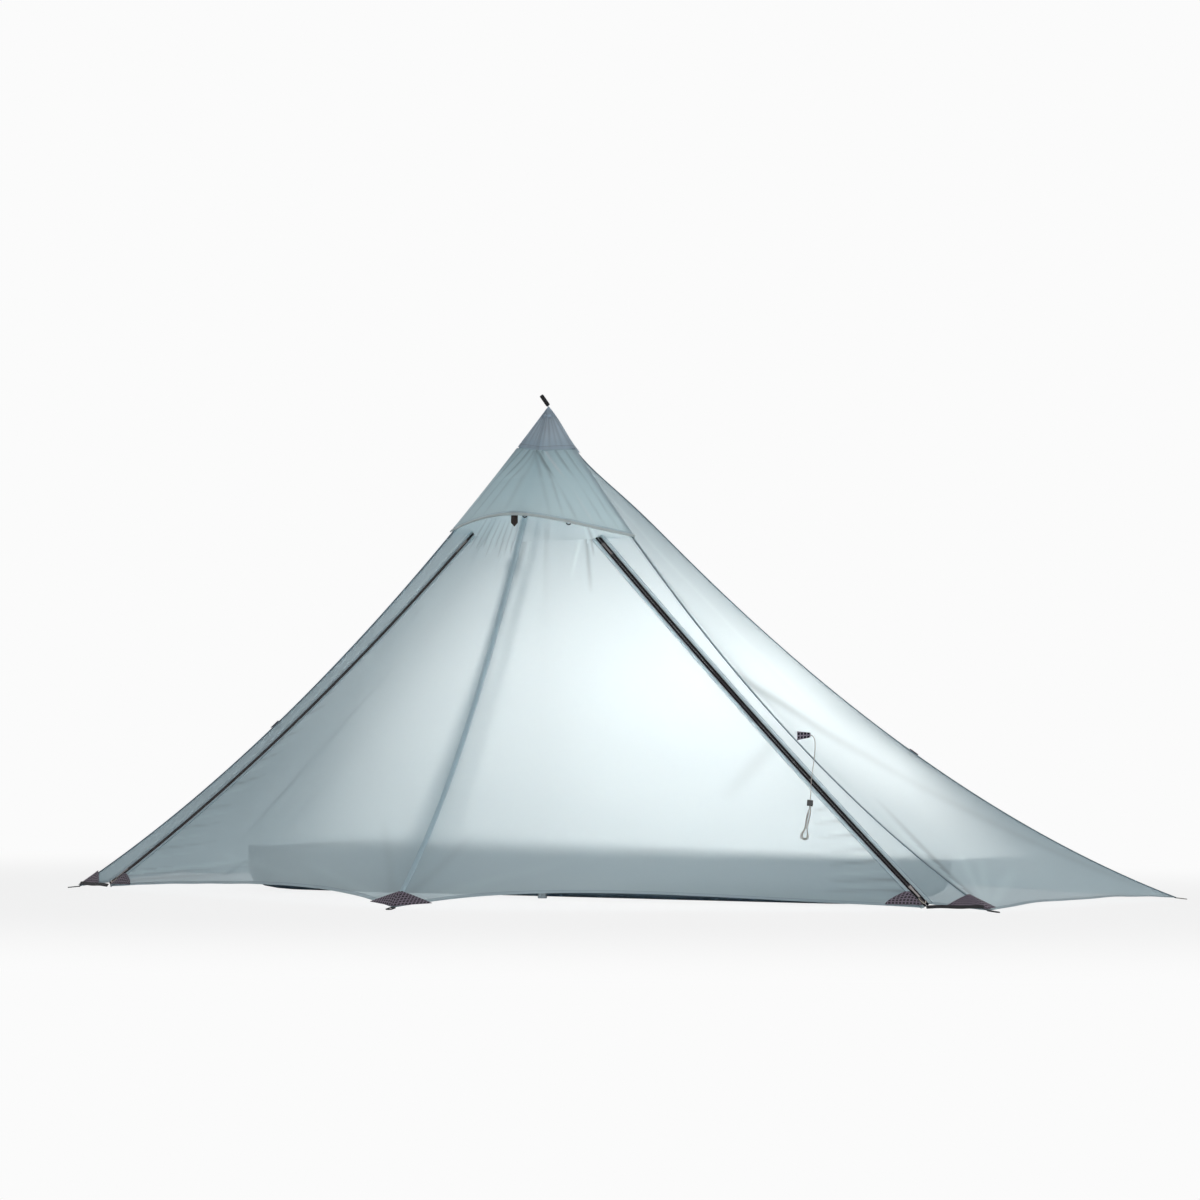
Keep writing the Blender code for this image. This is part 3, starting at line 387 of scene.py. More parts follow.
def woven(tree, thread, grid, strength, share=0.09):
    """The weave on a piece's own UVs. Returns its ripstop lines and the normal of its threads."""
    place = node(tree, "UVMap", uv_map="metres")
    inputs = {"Place": place, "Thread": thread, "Grid": grid, "Share": share}
    threads = node(tree, "Group", inputs, node_tree=weave)
    height = maths(tree, "ADD", threads.outputs["Threads"], threads.outputs["Lines"])
    bump = node(tree, "Bump", {"Strength": strength, "Distance": thread / 3, "Height": height})
    return threads.outputs["Lines"], bump


def fly_material(name, colour, doubled=None, through=0.54, clear=0.15, crease=0.6):
    """Thin coated cloth with taped seams and a folded hem, which show the darker doubled colour.

    The attributes tape and hem hold a point's distance from the nearest taped seam and from the hem, and
    fold says how strongly it is creased. The colour carries painted shade and a painted highlight: a raised
    crease is painted darker and a hollow one paler, standing in for the flank that turns from the light and
    the one that faces it. Through is the share of light that the cloth scatters to its other side, and
    clear is the share that passes straight.
    """
    tape_width, hem_width = 0.011, 0.012
    doubled = doubled or colour
    made, tree = new_material(name)
    lines, normal = woven(tree, 0.0005, 0.0045, 0.25)
    seam, edge, fold = (
        node(tree, "Attribute", attribute_name=key).outputs["Fac"] for key in ("tape", "hem", "fold"))
    twice = maths(
        tree, "MAXIMUM", below(tree, seam, tape_width, 0.0006), below(tree, edge, hem_width, 0.0006))
    stitch = maths(
        tree, "SUBTRACT", below(tree, edge, hem_width - 0.0010, 0.0003),
        below(tree, edge, hem_width - 0.0022, 0.0003))
    place = node(tree, "TexCoord").outputs["Object"]
    cloud = node(tree, "TexNoise", {"Vector": place, "Scale": 2.3, "Detail": 3.0, "Roughness": 0.55})
    base = toned(colour)
    for mask, amount, tint in (
        (cloud, 0.10, toned(colour, 0.80)),
        (lines, 0.10, toned(colour, 1.12)),
        (twice, 0.40, toned(doubled)),
        # Painted shade on raised creases and a painted highlight in hollow ones, by the crease share.
        (maths(tree, "MAXIMUM", fold, 0.0), crease, toned(colour, 0.45)),
        (maths(tree, "MINIMUM", fold, 0.0), -0.8 * crease, toned(colour, 1.3)),
        (stitch, 0.5, toned(doubled, 0.6)),
    ):
        base = tinted(tree, maths(tree, "MULTIPLY", mask, amount), base, tint)
    inputs = {"Base Color": base, "Roughness": 0.42, "Normal": normal, "Sheen Weight": 0.12}
    shell = node(tree, "BsdfPrincipled", inputs)
    glow = node(tree, "BsdfTranslucent", {"Color": base, "Normal": normal})
    lit = node(tree, "MixShader", {0: through, 1: shell, 2: glow})
    see = node(tree, "BsdfTransparent", {"Color": (0.88, 0.95, 0.98, 1)})
    amount = maths(tree, "MULTIPLY_ADD", twice, -clear * 0.8, clear)
    return finished(made, node(tree, "MixShader", {0: amount, 1: lit, 2: see}))


def gridstop_material():
    """The tough dark patch cloth: nearly black violet with a pale square grid of thicker threads."""
    made, tree = new_material("gridstop")
    lines, normal = woven(tree, 0.0008, 0.0100, 0.5, 0.17)
    base = tinted(tree, maths(tree, "MULTIPLY", lines, 0.9), (0.016, 0.010, 0.020, 1), (0.46, 0.38, 0.48, 1))
    shell = node(tree, "BsdfPrincipled", {"Base Color": base, "Roughness": 0.6, "Normal": normal})
    glow = node(tree, "BsdfTranslucent", {"Color": base})
    return finished(made, node(tree, "MixShader", {0: 0.2, 1: shell, 2: glow}))


def webbing_material(name, colour, rough=0.75, sheen=0.2, shine=0.5):
    """Flat woven tape: coarse ribs across it and a soft sheen."""
    made, tree = new_material(name)
    place = node(tree, "TexCoord").outputs["Object"]
    ribs = node(tree, "TexNoise", {"Vector": place, "Scale": 900.0, "Detail": 1.0})
    normal = woven(tree, 0.0016, 0.02, 0.6)[1]
    base = tinted(tree, ribs.outputs[0], toned(colour), toned(colour, 1.9, most=2.0))
    return finished(made, node(tree, "BsdfPrincipled", {
        "Base Color": base, "Roughness": rough, "Normal": normal, "Sheen Weight": sheen,
        "Specular IOR Level": shine}))


def cord_material():
    """Braided cord: pale strands that wind round it, with a little tan in the grooves."""
    made, tree = new_material("cord_braid")
    split = node(tree, "SeparateXYZ", {0: node(tree, "UVMap", uv_map="metres")})
    strands = maths(tree, "MULTIPLY", split.outputs["X"], 4 * math.pi)
    run = maths(tree, "MULTIPLY", split.outputs["Y"], 2 * math.pi / 0.0045)
    one = maths(tree, "SINE", maths(tree, "ADD", strands, run))
    two = maths(tree, "SINE", maths(tree, "SUBTRACT", strands, run))
    height = maths(tree, "MULTIPLY", one, two)
    mask = node(tree, "MapRange", {"Value": height, "From Min": -1.0, "From Max": 1.0})
    base = tinted(tree, mask, (0.52, 0.47, 0.42, 1), (0.95, 0.93, 0.90, 1))
    bump = node(tree, "Bump", {"Strength": 0.6, "Distance": 0.0004, "Height": height})
    inputs = {"Base Color": base, "Roughness": 0.7, "Normal": bump, "Sheen Weight": 0.15}
    return finished(made, node(tree, "BsdfPrincipled", inputs))


def solid_material(name, colour, rough, metal=0.0, grain=200.0):
    """Moulded plastic or metal: one colour, with fine uneven roughness and a faint grain."""
    made, tree = new_material(name)
    place = node(tree, "TexCoord").outputs["Object"]
    speck = node(tree, "TexNoise", {"Vector": place, "Scale": grain, "Detail": 4.0})
    polish = node(tree, "MapRange", {"Value": speck, "To Min": rough - 0.12, "To Max": rough + 0.12})
    base = tinted(tree, speck, toned(colour), toned(colour, 0.85))
    bump = node(tree, "Bump", {"Strength": 0.08, "Distance": 0.0002, "Height": speck})
    inputs = {"Base Color": base, "Roughness": polish, "Normal": bump, "Metallic": metal}
    return finished(made, node(tree, "BsdfPrincipled", inputs))


def mesh_material():
    """Insect mesh: fine pale threads with open holes between them."""
    made, tree = new_material("mesh_net")
    split = node(tree, "SeparateXYZ", {0: node(tree, "UVMap", uv_map="metres")})
    holes = []
    for axis in ("X", "Y"):
        step = maths(tree, "DIVIDE", split.outputs[axis], 0.0022)
        holes.append(below(tree, maths(tree, "PINGPONG", step, 0.5), 0.040, 0.015))
    thread = maths(tree, "MAXIMUM", holes[0], holes[1])
    shell = node(tree, "BsdfPrincipled", {"Base Color": (0.86, 0.88, 0.90, 1), "Roughness": 0.8})
    clear = node(tree, "BsdfTransparent", {"Color": (1, 1, 1, 1)})
    return finished(made, node(tree, "MixShader", {0: thread, 1: clear, 2: shell}))


# %% Materials
fly_cloth = fly_material("fly_cloth", (0.65, 0.76, 0.80), (0.34, 0.43, 0.49))
# The hood cloth is painted paler than the fly cloth it is cut from: painted light where the inner lamps reach
# it less. Hood and cone get stronger painted crease shade.
hood_cloth = fly_material("hood_cloth", (0.84, 0.96, 0.98), (0.52, 0.62, 0.68), 0.56, 0.12, crease=0.95)
cone_cloth = fly_material("cone_cloth", (0.72, 0.83, 0.92), (0.50, 0.57, 0.65), 0.38, 0.04, crease=0.85)
tub_cloth = fly_material("tub_cloth", (0.20, 0.26, 0.32), (0.05, 0.07, 0.10), 0.45, 0.0)
# The lip's pale binding is painted near white, a painted highlight along the hood's edge.
lip_cloth = fly_material("lip_cloth", (0.92, 1.0, 1.0), through=0.2, clear=0.0)
# The welts are the fly's cloth painted paler, painted light that makes their doubled edges look lit.
welt_cloth = fly_material("welt_cloth", (0.84, 0.92, 0.95), through=0.5, clear=0.3)
seam_cloth = fly_material("seam_cloth", (0.42, 0.51, 0.57), through=0.3, clear=0.1)
tape_cloth = fly_material("tape_cloth", (0.84, 0.93, 0.96), through=0.6, clear=0.3)
gridstop = gridstop_material()
webbing = webbing_material("webbing", (0.012, 0.012, 0.015))
brown_webbing = webbing_material("brown_webbing", (0.045, 0.030, 0.026))
pale_webbing = webbing_material("pale_webbing", (0.62, 0.60, 0.56))
tub_binding = webbing_material("tub_binding", (0.10, 0.12, 0.15))
zip_tape = webbing_material("zip_tape", (0.006, 0.005, 0.009), 0.8, 0.0, 0.15)
zip_coil = solid_material("zip_coil", (0.022, 0.012, 0.012), 0.5)
zip_metal = solid_material("zip_metal", (0.16, 0.15, 0.15), 0.34, 1.0)
hook_metal = solid_material("hook_metal", (0.50, 0.45, 0.40), 0.32, 1.0)
plastic = solid_material("plastic", (0.018, 0.018, 0.020), 0.42)
pole_metal = solid_material("pole_metal", (0.36, 0.38, 0.40), 0.45, 0.6, 60.0)
pole_grip = solid_material("pole_grip", (0.03, 0.03, 0.035), 0.5)
cord_braid = cord_material()
mesh_net = mesh_material()
print("materials", len(bpy.data.materials))

# %% [markdown]
# The fly's walls. The side and rear panels are ruled between their two ridges. Each hem is cut as a shallow
# arch so that it stays tight, and the arch fades out quickly up the cloth. Swells of a millimetre or two
# and creases that run out of the stake corners break the ruled surface, as pitching a real tent does.

# %% Panels between two ridges
ROWS = 150
COLUMNS = 90
PANEL_SWELL = 0.0016
WALL_SWELL = 0.0014


def hem_arch(points, shares, hem_shares, arch, ends=(0.0, 0.0)):
    """Lift the hem by 4·arch·h·(1 - h) less what its two ends already have, fading as row share⁸."""
    lift = 4 * arch * hem_shares * (1 - hem_shares)
    lift = lift - (ends[0] + (ends[1] - ends[0]) * np.linspace(0, 1, len(hem_shares)))
    points = points.copy()
    points[..., 2] += np.asarray(shares)[:, None] ** 8 * lift
    return points


def cloth_marks(points, fold=0.0, first=True, second=True):
    """For the shader: each point's way to the nearer taped edge and to the hem, and how it is creased, for
    its painted crease shade.
    """
    tape = np.full(points.shape[:2], FAR)
    for taped, edge in ((first, points[:, :1]), (second, points[:, -1:])):
        if taped:
            tape = np.minimum(tape, np.linalg.norm(points - edge, axis=2))
    step = np.linalg.norm(np.diff(points, axis=0), axis=2)
    hem = np.concatenate([step[::-1].cumsum(axis=0)[::-1], np.zeros((1, points.shape[1]))])
    return {"tape": tape, "hem": hem, "fold": fold}


def cloth_piece(name, points, material, marks, slot, *replaced, body="fly", rests_on="pole_upper"):
    """A sheet that is dressed and declared as cloth."""
    made = grid_piece(name, points, material, marks)
    dress(made, body, slot, *replaced)
    declare_cloth(made, points)


def corner_folds(count, foot_column, spread, reach, width, height, seed):
    """Creases that fan out of a foot corner of a grid: their ends spread over a range of columns."""
    rng = np.random.default_rng(seed)
    lines = []
    for share in np.linspace(0, 1, count):
        column = foot_column + spread * (0.15 + 0.85 * share)
        row = 1 - reach * (0.35 + 0.65 * (1 - share)) * rng.uniform(0.7, 1.2)
        sign = 1 if rng.uniform() > 0.45 else -0.8
        lines.append((1.0, foot_column, row, min(max(column, 0), 1), width, height * sign))
    return lines


def panel(name, first, second, arch, folds, seed):
    """One whole wall of the fly, with its swells and creases."""
    shares = np.linspace(TOP_SHARE, 1, ROWS)
    across = np.linspace(0, 1, COLUMNS)
    points = ruled(ridge_line(first, shares), ridge_line(second, shares), across)
    points = hem_arch(points, shares, across, arch)
    fade = (np.minimum(across, 1 - across) * 8).clip(0, 1)[None, :, None]
    moved, mark = creased(waves(points, seed, PANEL_SWELL), folds)
    points = points + (moved - points) * fade
    cloth_piece(f"cloth_{name}", points, fly_cloth, cloth_marks(points, mark), "fly_cloth", name)


right_folds = corner_folds(5, 0.0, 0.5, 0.35, 0.018, 0.0035, 3)
right_folds += [(0.42, 0.0, 0.95, 0.95, 0.035, 0.003), (0.05, 0.1, 0.5, 0.55, 0.02, -0.002)]
left_folds = corner_folds(4, 0.0, 0.5, 0.3, 0.018, 0.003, 4)
rear_folds = corner_folds(4, 0.0, 0.4, 0.3, 0.02, 0.003, 5) + corner_folds(4, 1.0, -0.4, 0.3, 0.02, 0.003, 6)
panel("side_right", "right", "rear_right", ARCH_SIDE, right_folds, 11)
panel("side_left", "left", "rear_left", ARCH_SIDE, left_folds, 12)
panel("rear_panel", "rear_right", "rear_left", ARCH_REAR, rear_folds, 13)

# %% [markdown]
# The front wall. Each half has a zip that runs from under the vent hood to the hem beside the side corner.
# The zip hangs a little below a straight line. Outside it is a narrow strip, inside it the door cloth runs
# on to the front seam without a break. The left half is the door that opens about the fold line; its cloth
# is built here closed.


# %% Lines of the front wall
def hem_spot(first, distance, second="front", arch=ARCH_FRONT):
    """A point of an arched hem, a distance from its first corner."""
    way = corner(second) - corner(first)
    share = distance / np.linalg.norm(way)
    spot = corner(first) + way * share
    spot[2] += 4 * arch * share * (1 - share)
    return spot


class HalfWall:
    """The zip, fold and edges of one half of the front wall."""

    def __init__(self, side):
        self.side = side
        hem = corner("front") - corner(side)
        self.length = float(np.linalg.norm(hem))
        top = ridge_line(side, DOOR_SHARE)
        over = ridge_line("front", DOOR_SHARE) - top
        self.zip_top = top + over * ZIP_ACROSS
        self.fold_top = top + over * FOLD_ACROSS
        self.zip_foot = hem_spot(side, ZIP_TO_CORNER)
        self.fold_foot = hem_spot(side, self.length - FOLD_TO_FRONT)
        self.zip_length = float(np.linalg.norm(self.zip_foot - self.zip_top))
        down = unit(self.zip_foot - self.zip_top)
        self.normal = facing(unit(np.cross(down, self.fold_foot - self.zip_top)), np.array([0, -1, 0]))
        self.inward = facing(np.cross(self.normal, down), hem)

    def zip_line(self, share):
        """Points of the zip: its chord less 4·sag·s·(1 - s)·Z."""
        share = np.asarray(share, float)[..., None]
        chord = self.zip_top + (self.zip_foot - self.zip_top) * share
        return chord - 4 * ZIP_SAG[self.side] * share * (1 - share) * UP

    def fold_line(self, share):
        """Points of the straight line that the door flap folds along."""
        return self.fold_top + (self.fold_foot - self.fold_top) * np.asarray(share, float)[..., None]

    def above(self, down, inward, out):
        """A point over the door cloth, by its way down the zip, its way in from it and its height."""
        share = down / self.zip_length
        edge = self.zip_line(share)
        way = self.fold_line(share) - edge
        return edge + way * inward / (way @ self.inward) + self.normal * out


half = {side: HalfWall(side) for side in ("left", "right")}


def door_grid(wall, rows=130, columns=110):
    """The door cloth from the zip to the front seam: ruled, and swelled so that it meets the fold line."""
    down = np.linspace(0, 1, rows)
    across = np.linspace(0, 1, columns)
    edge = wall.zip_line(down) + wall.inward * TAPE_HALF
    front = ridge_line("front", DOOR_SHARE + (1 - DOOR_SHARE) * down)
    points = ruled(edge, front, across)
    turn = wall.length - ZIP_TO_CORNER
    part = 1 - FOLD_TO_FRONT / turn
    top_part = (FOLD_ACROSS - ZIP_ACROSS) / (1 - ZIP_ACROSS)
    place = top_part + (part - top_part) * down
    miss = wall.fold_line(down) - (edge * (1 - place[:, None]) + front * place[:, None])
    power = np.log(0.5) / np.log(place)
    hump = np.sin(math.pi * across[None, :] ** power[:, None])
    points = points + miss[:, None] * hump[..., None]
    first = ZIP_TO_CORNER / wall.length
    hem_shares = first + (1 - first) * across
    ends = (4 * ARCH_FRONT * first * (1 - first), 0.0)
    return hem_arch(points, down, hem_shares, ARCH_FRONT, ends)


# %% Cloth of the front wall
DOOR_FOLDS = {
    "right": [
        (0.0, 0.16, 0.16, 0.17, 0.006, 0.0026),
        (0.0, 0.24, 0.12, 0.30, 0.006, -0.0024),
        (0.0, 0.93, 0.10, 0.92, 0.007, 0.0020),
        (0.0, 0.85, 0.07, 0.84, 0.006, -0.0020),
        (0.55, 0.0, 0.72, 0.22, 0.022, 0.0010),
        (1.0, 1.0, 0.80, 0.80, 0.014, 0.0010),
        (1.0, 1.0, 0.90, 0.60, 0.012, -0.0012),
    ],
    "left": [
        (0.955, 0.0, 0.915, 0.48, 0.0070, -0.0030),
        (0.965, 0.0, 0.940, 0.46, 0.0050, 0.0020),
        (0.985, 0.0, 0.965, 0.40, 0.0060, 0.0024),
        (0.90, 0.30, 0.975, 0.70, 0.012, -0.0012),
        (1.0, 1.0, 0.78, 0.75, 0.014, 0.0010),
        (1.0, 1.0, 0.92, 0.60, 0.012, -0.0012),
    ],
}
ZIP_FANS = {"right": (0.70, 0.975, 15, 0.014), "left": (0.42, 0.94, 16, -0.022)}


def zip_fans(side):
    """Short creases that run off the zip into the door, where the stiff tape pulls the cloth."""
    first, last, count, slope = ZIP_FANS[side]
    rng = np.random.default_rng(count)
    lines = []
    for i, row in enumerate(np.linspace(first, last, count)):
        far = 0.05 + 0.17 * ((row - first) / (last - first)) ** 1.5 * rng.uniform(0.6, 1.2)
        row = row + rng.uniform(-0.006, 0.006)
        height = rng.uniform(0.0016, 0.0028) * (1 if i % 2 else -1)
        end = row + slope * rng.uniform(0.5, 1.2)
        lines.append((row, 0.0, end, far, rng.uniform(0.0036, 0.0052), height))
    return lines


GATHERS = {"left": (0.05, 0.95, 17), "right": (0.04, 0.14, 3)}


def gathers(side, head):
    """Short upright creases under the vent hood, which rise on the head and hang down on the door."""
    first, last, count = GATHERS[side]
    rng = np.random.default_rng(count)
    lines = []
    for i, column in enumerate(np.linspace(first, last, count)):
        depth, width = rng.uniform(0.02, 0.06), rng.uniform(0.0022, 0.0040)
        height = 0.0024 if i % 2 else -0.0020
        if head:
            column = ZIP_ACROSS + (1 - ZIP_ACROSS) * column
            lines.append((1.0, column, 0.78, column, width, height))
        else:
            lines.append((0.0, column, depth, column, width, height))
    return lines


def wall_cloth(wall, seed):
    """The door cloth, the strip outside the zip and the head above both, for one side."""
    side = wall.side
    points = door_grid(wall)
    folds = DOOR_FOLDS[side] + zip_fans(side) + gathers(side, False)
    moved, mark = creased(waves(points, seed, WALL_SWELL), folds)
    across = np.linspace(0, 1, points.shape[1])
    fade = (np.minimum(across, 1 - across) * 10).clip(0, 1)[None, :, None]
    fade = fade * (np.linspace(0, 1, points.shape[0]) * 40).clip(0, 1)[:, None, None]
    points = points + (moved - points) * fade
    door = grid_piece(f"front_wall_{side}", points, fly_cloth, cloth_marks(points, mark, first=False))
    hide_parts(f"front_{side}", f"door_{side}")
    if side == "left":
        middle = wall.fold_line(0.5)
        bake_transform(door)
    else:
        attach(door, "fly")
    declare_cloth(door, points)

    down = np.linspace(0, 1, 100)
    ridge = ridge_line(side, DOOR_SHARE + (1 - DOOR_SHARE) * down)
    edge = wall.zip_line(down) - wall.inward * TAPE_HALF
    points = ruled(ridge, edge, np.linspace(0, 1, 14))
    marks = cloth_marks(points, second=False)
    cloth_piece(f"strip_cloth_{side}", points, fly_cloth, marks, "fly_cloth", f"strip_{side}")

    shares = np.linspace(TOP_SHARE, DOOR_SHARE, 30)
    points = ruled(ridge_line(side, shares), ridge_line("front", shares), np.linspace(0, 1, 60))
    marks = cloth_marks(points, creased(points, gathers(side, True))[1])
    marks["hem"] = FAR
    cloth_piece(f"wall_head_{side}", points, fly_cloth, marks, "fly_cloth")


wall_cloth(half["left"], 20)
wall_cloth(half["right"], 21)

# %% [markdown]
# Ridge seams are folded cloth, thicker and darker than the walls. Each is an oval bead along its ridge.

# %% Ridge seams
SEAM_THICKNESS = 0.0042
SEAM_WIDTH = 0.008
FRONT_SEAM_WIDTH = 0.014
for ridge in RIDGES:
    width, finish = (FRONT_SEAM_WIDTH, tape_cloth) if ridge == "front" else (SEAM_WIDTH, seam_cloth)
    sweep(
        f"ridge_{ridge}", ridge_line(ridge, np.linspace(TOP_SHARE, 1, 90)), ridge_out(ridge, 0.9),
        oval(width, SEAM_THICKNESS), finish, "fly", "fly_cloth", f"seam_{ridge}")
print("seams", len(RIDGES))

# %% [markdown]
# A zip is two woven tapes with half of a coil on each. The sliders clasp the coil and carry a pull.


# %% Zips
COIL_PITCH = 0.0042
COIL_WAVE = 0.0003


def zip_half(wall, name, heading, body):
    """One tape of a zip, half of its coil and the welt beside it. Heading is 1 toward the door, -1 away."""
    shares = np.linspace(-0.004, 1 - 0.002 / wall.zip_length, 140)
    run = np.linspace(0.006, 1 - 0.010 / wall.zip_length, 700)
    wave = COIL_WAVE * np.sin(run * wall.zip_length / COIL_PITCH * math.pi)[:, None]
    # Each part with its places along the zip, its way aside from it, its lift, profile and material.
    for part, places, aside, lift, profile, material in (
        ("tape", shares, TAPE_HALF / 2 + 0.0004, 0.0, oval(TAPE_HALF, 0.0014), zip_tape),
        ("coil", run, 0.0016, 0.0008 + wave, oval(0.0024, 0.0016, 6), zip_coil),
        ("welt", shares, TAPE_HALF + 0.0015, 0.0012, oval(0.0100, 0.0012, 10, 0.5), welt_cloth),
        ("welt_edge", shares, TAPE_HALF + 0.0082, 0.0007, oval(0.0014, 0.0012, 6), seam_cloth),
    ):
        line = wall.zip_line(places) + wall.inward * heading * aside + wall.normal * lift
        replaced = [f"zip_{name}"] if part == "tape" else []
        sweep(f"{part}_{name}", line, wall.normal, profile, material, body, "zip_tape", *replaced)


for side, wall in half.items():
    zip_half(wall, f"{side}_frame", -1, "fly")
    zip_half(wall, f"{side}_door", 1, "door_left" if side == "left" else "fly")
print("zip length", round(half["right"].zip_length, 3))

# %% [markdown]
# The peak. A cone of doubled cloth laps over the tops of the panels, and the vent hood swells out from
# under it over the front wall. The hood has a bound lip, painted near white as a highlight, and faint
# radial pulls, with painted crease shade.

# %% Peak cone and vent hood
AROUND = ("front", "right", "rear_right", "rear_left", "left", "front")
CONE_SHARE = 0.064
HOOD_LIP = 0.204
HOOD_CENTRE = 0.178
HOOD_BULGE = 0.045
LIP_WIDTH = 0.0105
LIP_THICKNESS = 0.0030


def cone_grid():
    """Rings of the cone: five flat sides with softened ridges, and shallow pulls down from the peak."""
    shares = np.linspace(0.0, CONE_SHARE, 30)
    edges = np.stack([ridge_line(ridge, shares) + CONE_LIFT * UP for ridge in AROUND], axis=1)
    places = np.linspace(0, 5, 121)
    index = np.minimum(places.astype(int), 4)
    part = (places - index)[None, :, None]
    grid = edges[:, index] * (1 - part) + edges[:, index + 1] * part
    waving = 0.0010 * np.sin(places * 2 * math.pi * 3.0) * np.linspace(0.2, 1, 30)[:, None]
    return grid + unit(grid * [1, 1, 0]) * waving[..., None]


cone_points = cone_grid()
cone_lines = [(0.12, c, 1.0, c + s, 0.0035, 0.002) for c, s in (
    (0.02, 0.0), (0.05, 0.005), (0.09, 0.01), (0.13, 0.0), (0.17, 0.01), (0.22, 0.0), (0.28, 0.0),
    (0.36, 0.0), (0.72, 0.0), (0.79, 0.0), (0.84, -0.01), (0.89, -0.008), (0.93, 0.0), (0.965, 0.004),
    (0.985, 0.0))]
cone_marks = cloth_marks(cone_points, creased(cone_points, cone_lines)[1], False, False)
cloth_piece("peak_cone_cloth", cone_points, cone_cloth, cone_marks, "cone_cloth", "peak_cone")


def hood_grid(rows=60, columns=120):
    """The hood: from the cone's edge it swells away from the front seam to a bowed lip."""
    down = np.linspace(0, 1, rows)[:, None]
    over = np.linspace(0, 1, columns)[None, :]
    lip = HOOD_LIP - (HOOD_LIP - HOOD_CENTRE) * np.sin(math.pi * over)
    first = CONE_SHARE * 1.03
    shares = first + (lip - first) * down
    left = ridge_line("left", shares)
    front = ridge_line("front", shares)
    right = ridge_line("right", shares)
    seam_way = unit(corner("front") - apex)
    out = np.array([0, seam_way[2], -seam_way[1]])
    middle = front + out * (HOOD_BULGE * down**1.2 * np.ones_like(over))[..., None]
    over = over[..., None]
    flat = np.where(over < 0.5, left + (front - left) * 2 * over, front + (right - front) * (2 * over - 1))
    control = 2 * middle - (left + right) / 2
    bowed = left * (1 - over) ** 2 + control * 2 * over * (1 - over) + right * over**2
    swell = np.clip(2.5 * down, 0, 1)[..., None]
    return flat * (1 - swell) + bowed * swell + CONE_LIFT * UP


hood_points = hood_grid()
pulls = [(0.0, top, 1.0, foot, width, height) for top, foot, width, height in (
    (0.47, 0.81, 0.0050, 0.0032), (0.60, 0.87, 0.0045, -0.0030), (0.42, 0.68, 0.0060, 0.0012),
    (0.72, 0.92, 0.0040, 0.0020), (0.30, 0.14, 0.0050, 0.0022), (0.22, 0.09, 0.0040, -0.0020),
    (0.40, 0.24, 0.0060, 0.0014), (0.45, 0.40, 0.0080, 0.0010), (0.55, 0.75, 0.0040, 0.0016),
    (0.14, 0.04, 0.0040, 0.0018), (0.85, 0.96, 0.0035, 0.0016))]
hood_points, hood_mark = creased(hood_points, pulls)
cloth_piece(
    "vent_hood_cloth", hood_points, hood_cloth, cloth_marks(hood_points, hood_mark), "fly_cloth", "vent_hood",
    rests_on="vent_prop")
sweep(
    "hood_lip", hood_points[-1], grid_normals(hood_points)[-1], oval(LIP_WIDTH, LIP_THICKNESS), lip_cloth,
    "fly", "fly_cloth")
print("hood lip", round(length_of(hood_points[-1]), 3), "m")


# %% Peak loop, prop strap and tie-backs
LOOP_LENGTH = 0.038
STRAP_LENGTH = 0.040
STRAP_HALF = 0.010
STRAP_TAIL = 0.25


def stadium(length, width):
    """A closed line round a slot shape, in its own plane."""
    turn = np.linspace(-math.pi / 2, math.pi / 2, 10)
    straight = (length - width) / 2
    right = np.stack([straight + width / 2 * np.cos(turn), width / 2 * np.sin(turn)], axis=1)
    return np.concatenate([right, -right])


def webbing_ring(name, centre, along, across, size, band, material, body, replaced):
    """A loop of webbing: a flat band, width by thickness, carried round a slot shape, length by width."""
    flat = stadium(size[0] - band[0], size[1] - band[0])
    line = centre + flat[:, :1] * along + flat[:, 1:] * across
    reference = np.cross(along, across)
    sweep(name, line, reference, oval(*band, 10), material, body, "webbing", replaced, closed=True)


LOOP_LEAN = math.radians(37)
loop_way = np.array([-math.sin(LOOP_LEAN), 0, math.cos(LOOP_LEAN)])
webbing_ring(
    "hang_loop", np.array([0, 0, PEAK + CONE_LIFT + 0.0005]) + loop_way * LOOP_LENGTH / 2, loop_way,
    np.array([0, 1.0, 0]), (LOOP_LENGTH, 0.010), (0.0022, 0.010), webbing, "fly", "peak_loop")

low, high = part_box("vent_prop")
strap_top = np.array([(low[0] + high[0]) / 2, (low[1] + high[1]) / 2, high[2]])
steps = np.linspace(0, 1, 24)
half_widths = STRAP_HALF * np.clip((1 - steps) / STRAP_TAIL, 0.02, 1)
hang = np.stack([0 * steps, -0.0006 * np.sin(steps * math.pi), -STRAP_LENGTH * steps], axis=1)
prop = grid_piece("prop_strap", np.stack([
    strap_top + np.array([x, 0, 0]) * half_widths[:, None] + hang for x in np.linspace(-1, 1, 7)
], axis=1), brown_webbing)
thicken(prop, 0.0016)
dress(prop, "vent_prop", "webbing", "vent_prop")

for name in ("tie_back_centre", "tie_back_right"):
    low, high = (np.array(v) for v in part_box(name))
    webbing_ring(
        f"{name}_cord", (low + high) / 2, UP, np.array([1.0, 0, 0]), (high - low)[[2, 0]], (0.0034, 0.0034),
        webbing, name, name)
print("hang loop, prop strap and tie-backs done")

# %% [markdown]
# Corner reinforcements are triangles of dark gridstop cloth sewn on, each drawn to a point up its seam or
# zip. They follow the cloth under them six or seven millimetres out, clear of its seams and swells.


# %% Corner patches
PATCH_LIFT = 0.0068
PATCH_SEAM_LIFT = 0.0062
PATCH_SEAM_DROP = 0.0006
PATCH_RISE = 0.085
DOOR_PATCH_LIFT = 0.0056
DOOR_PATCH_FOOT = 0.008
DOOR_PATCH_TOP = 0.062
DOOR_PATCH_WIDTH = 0.105
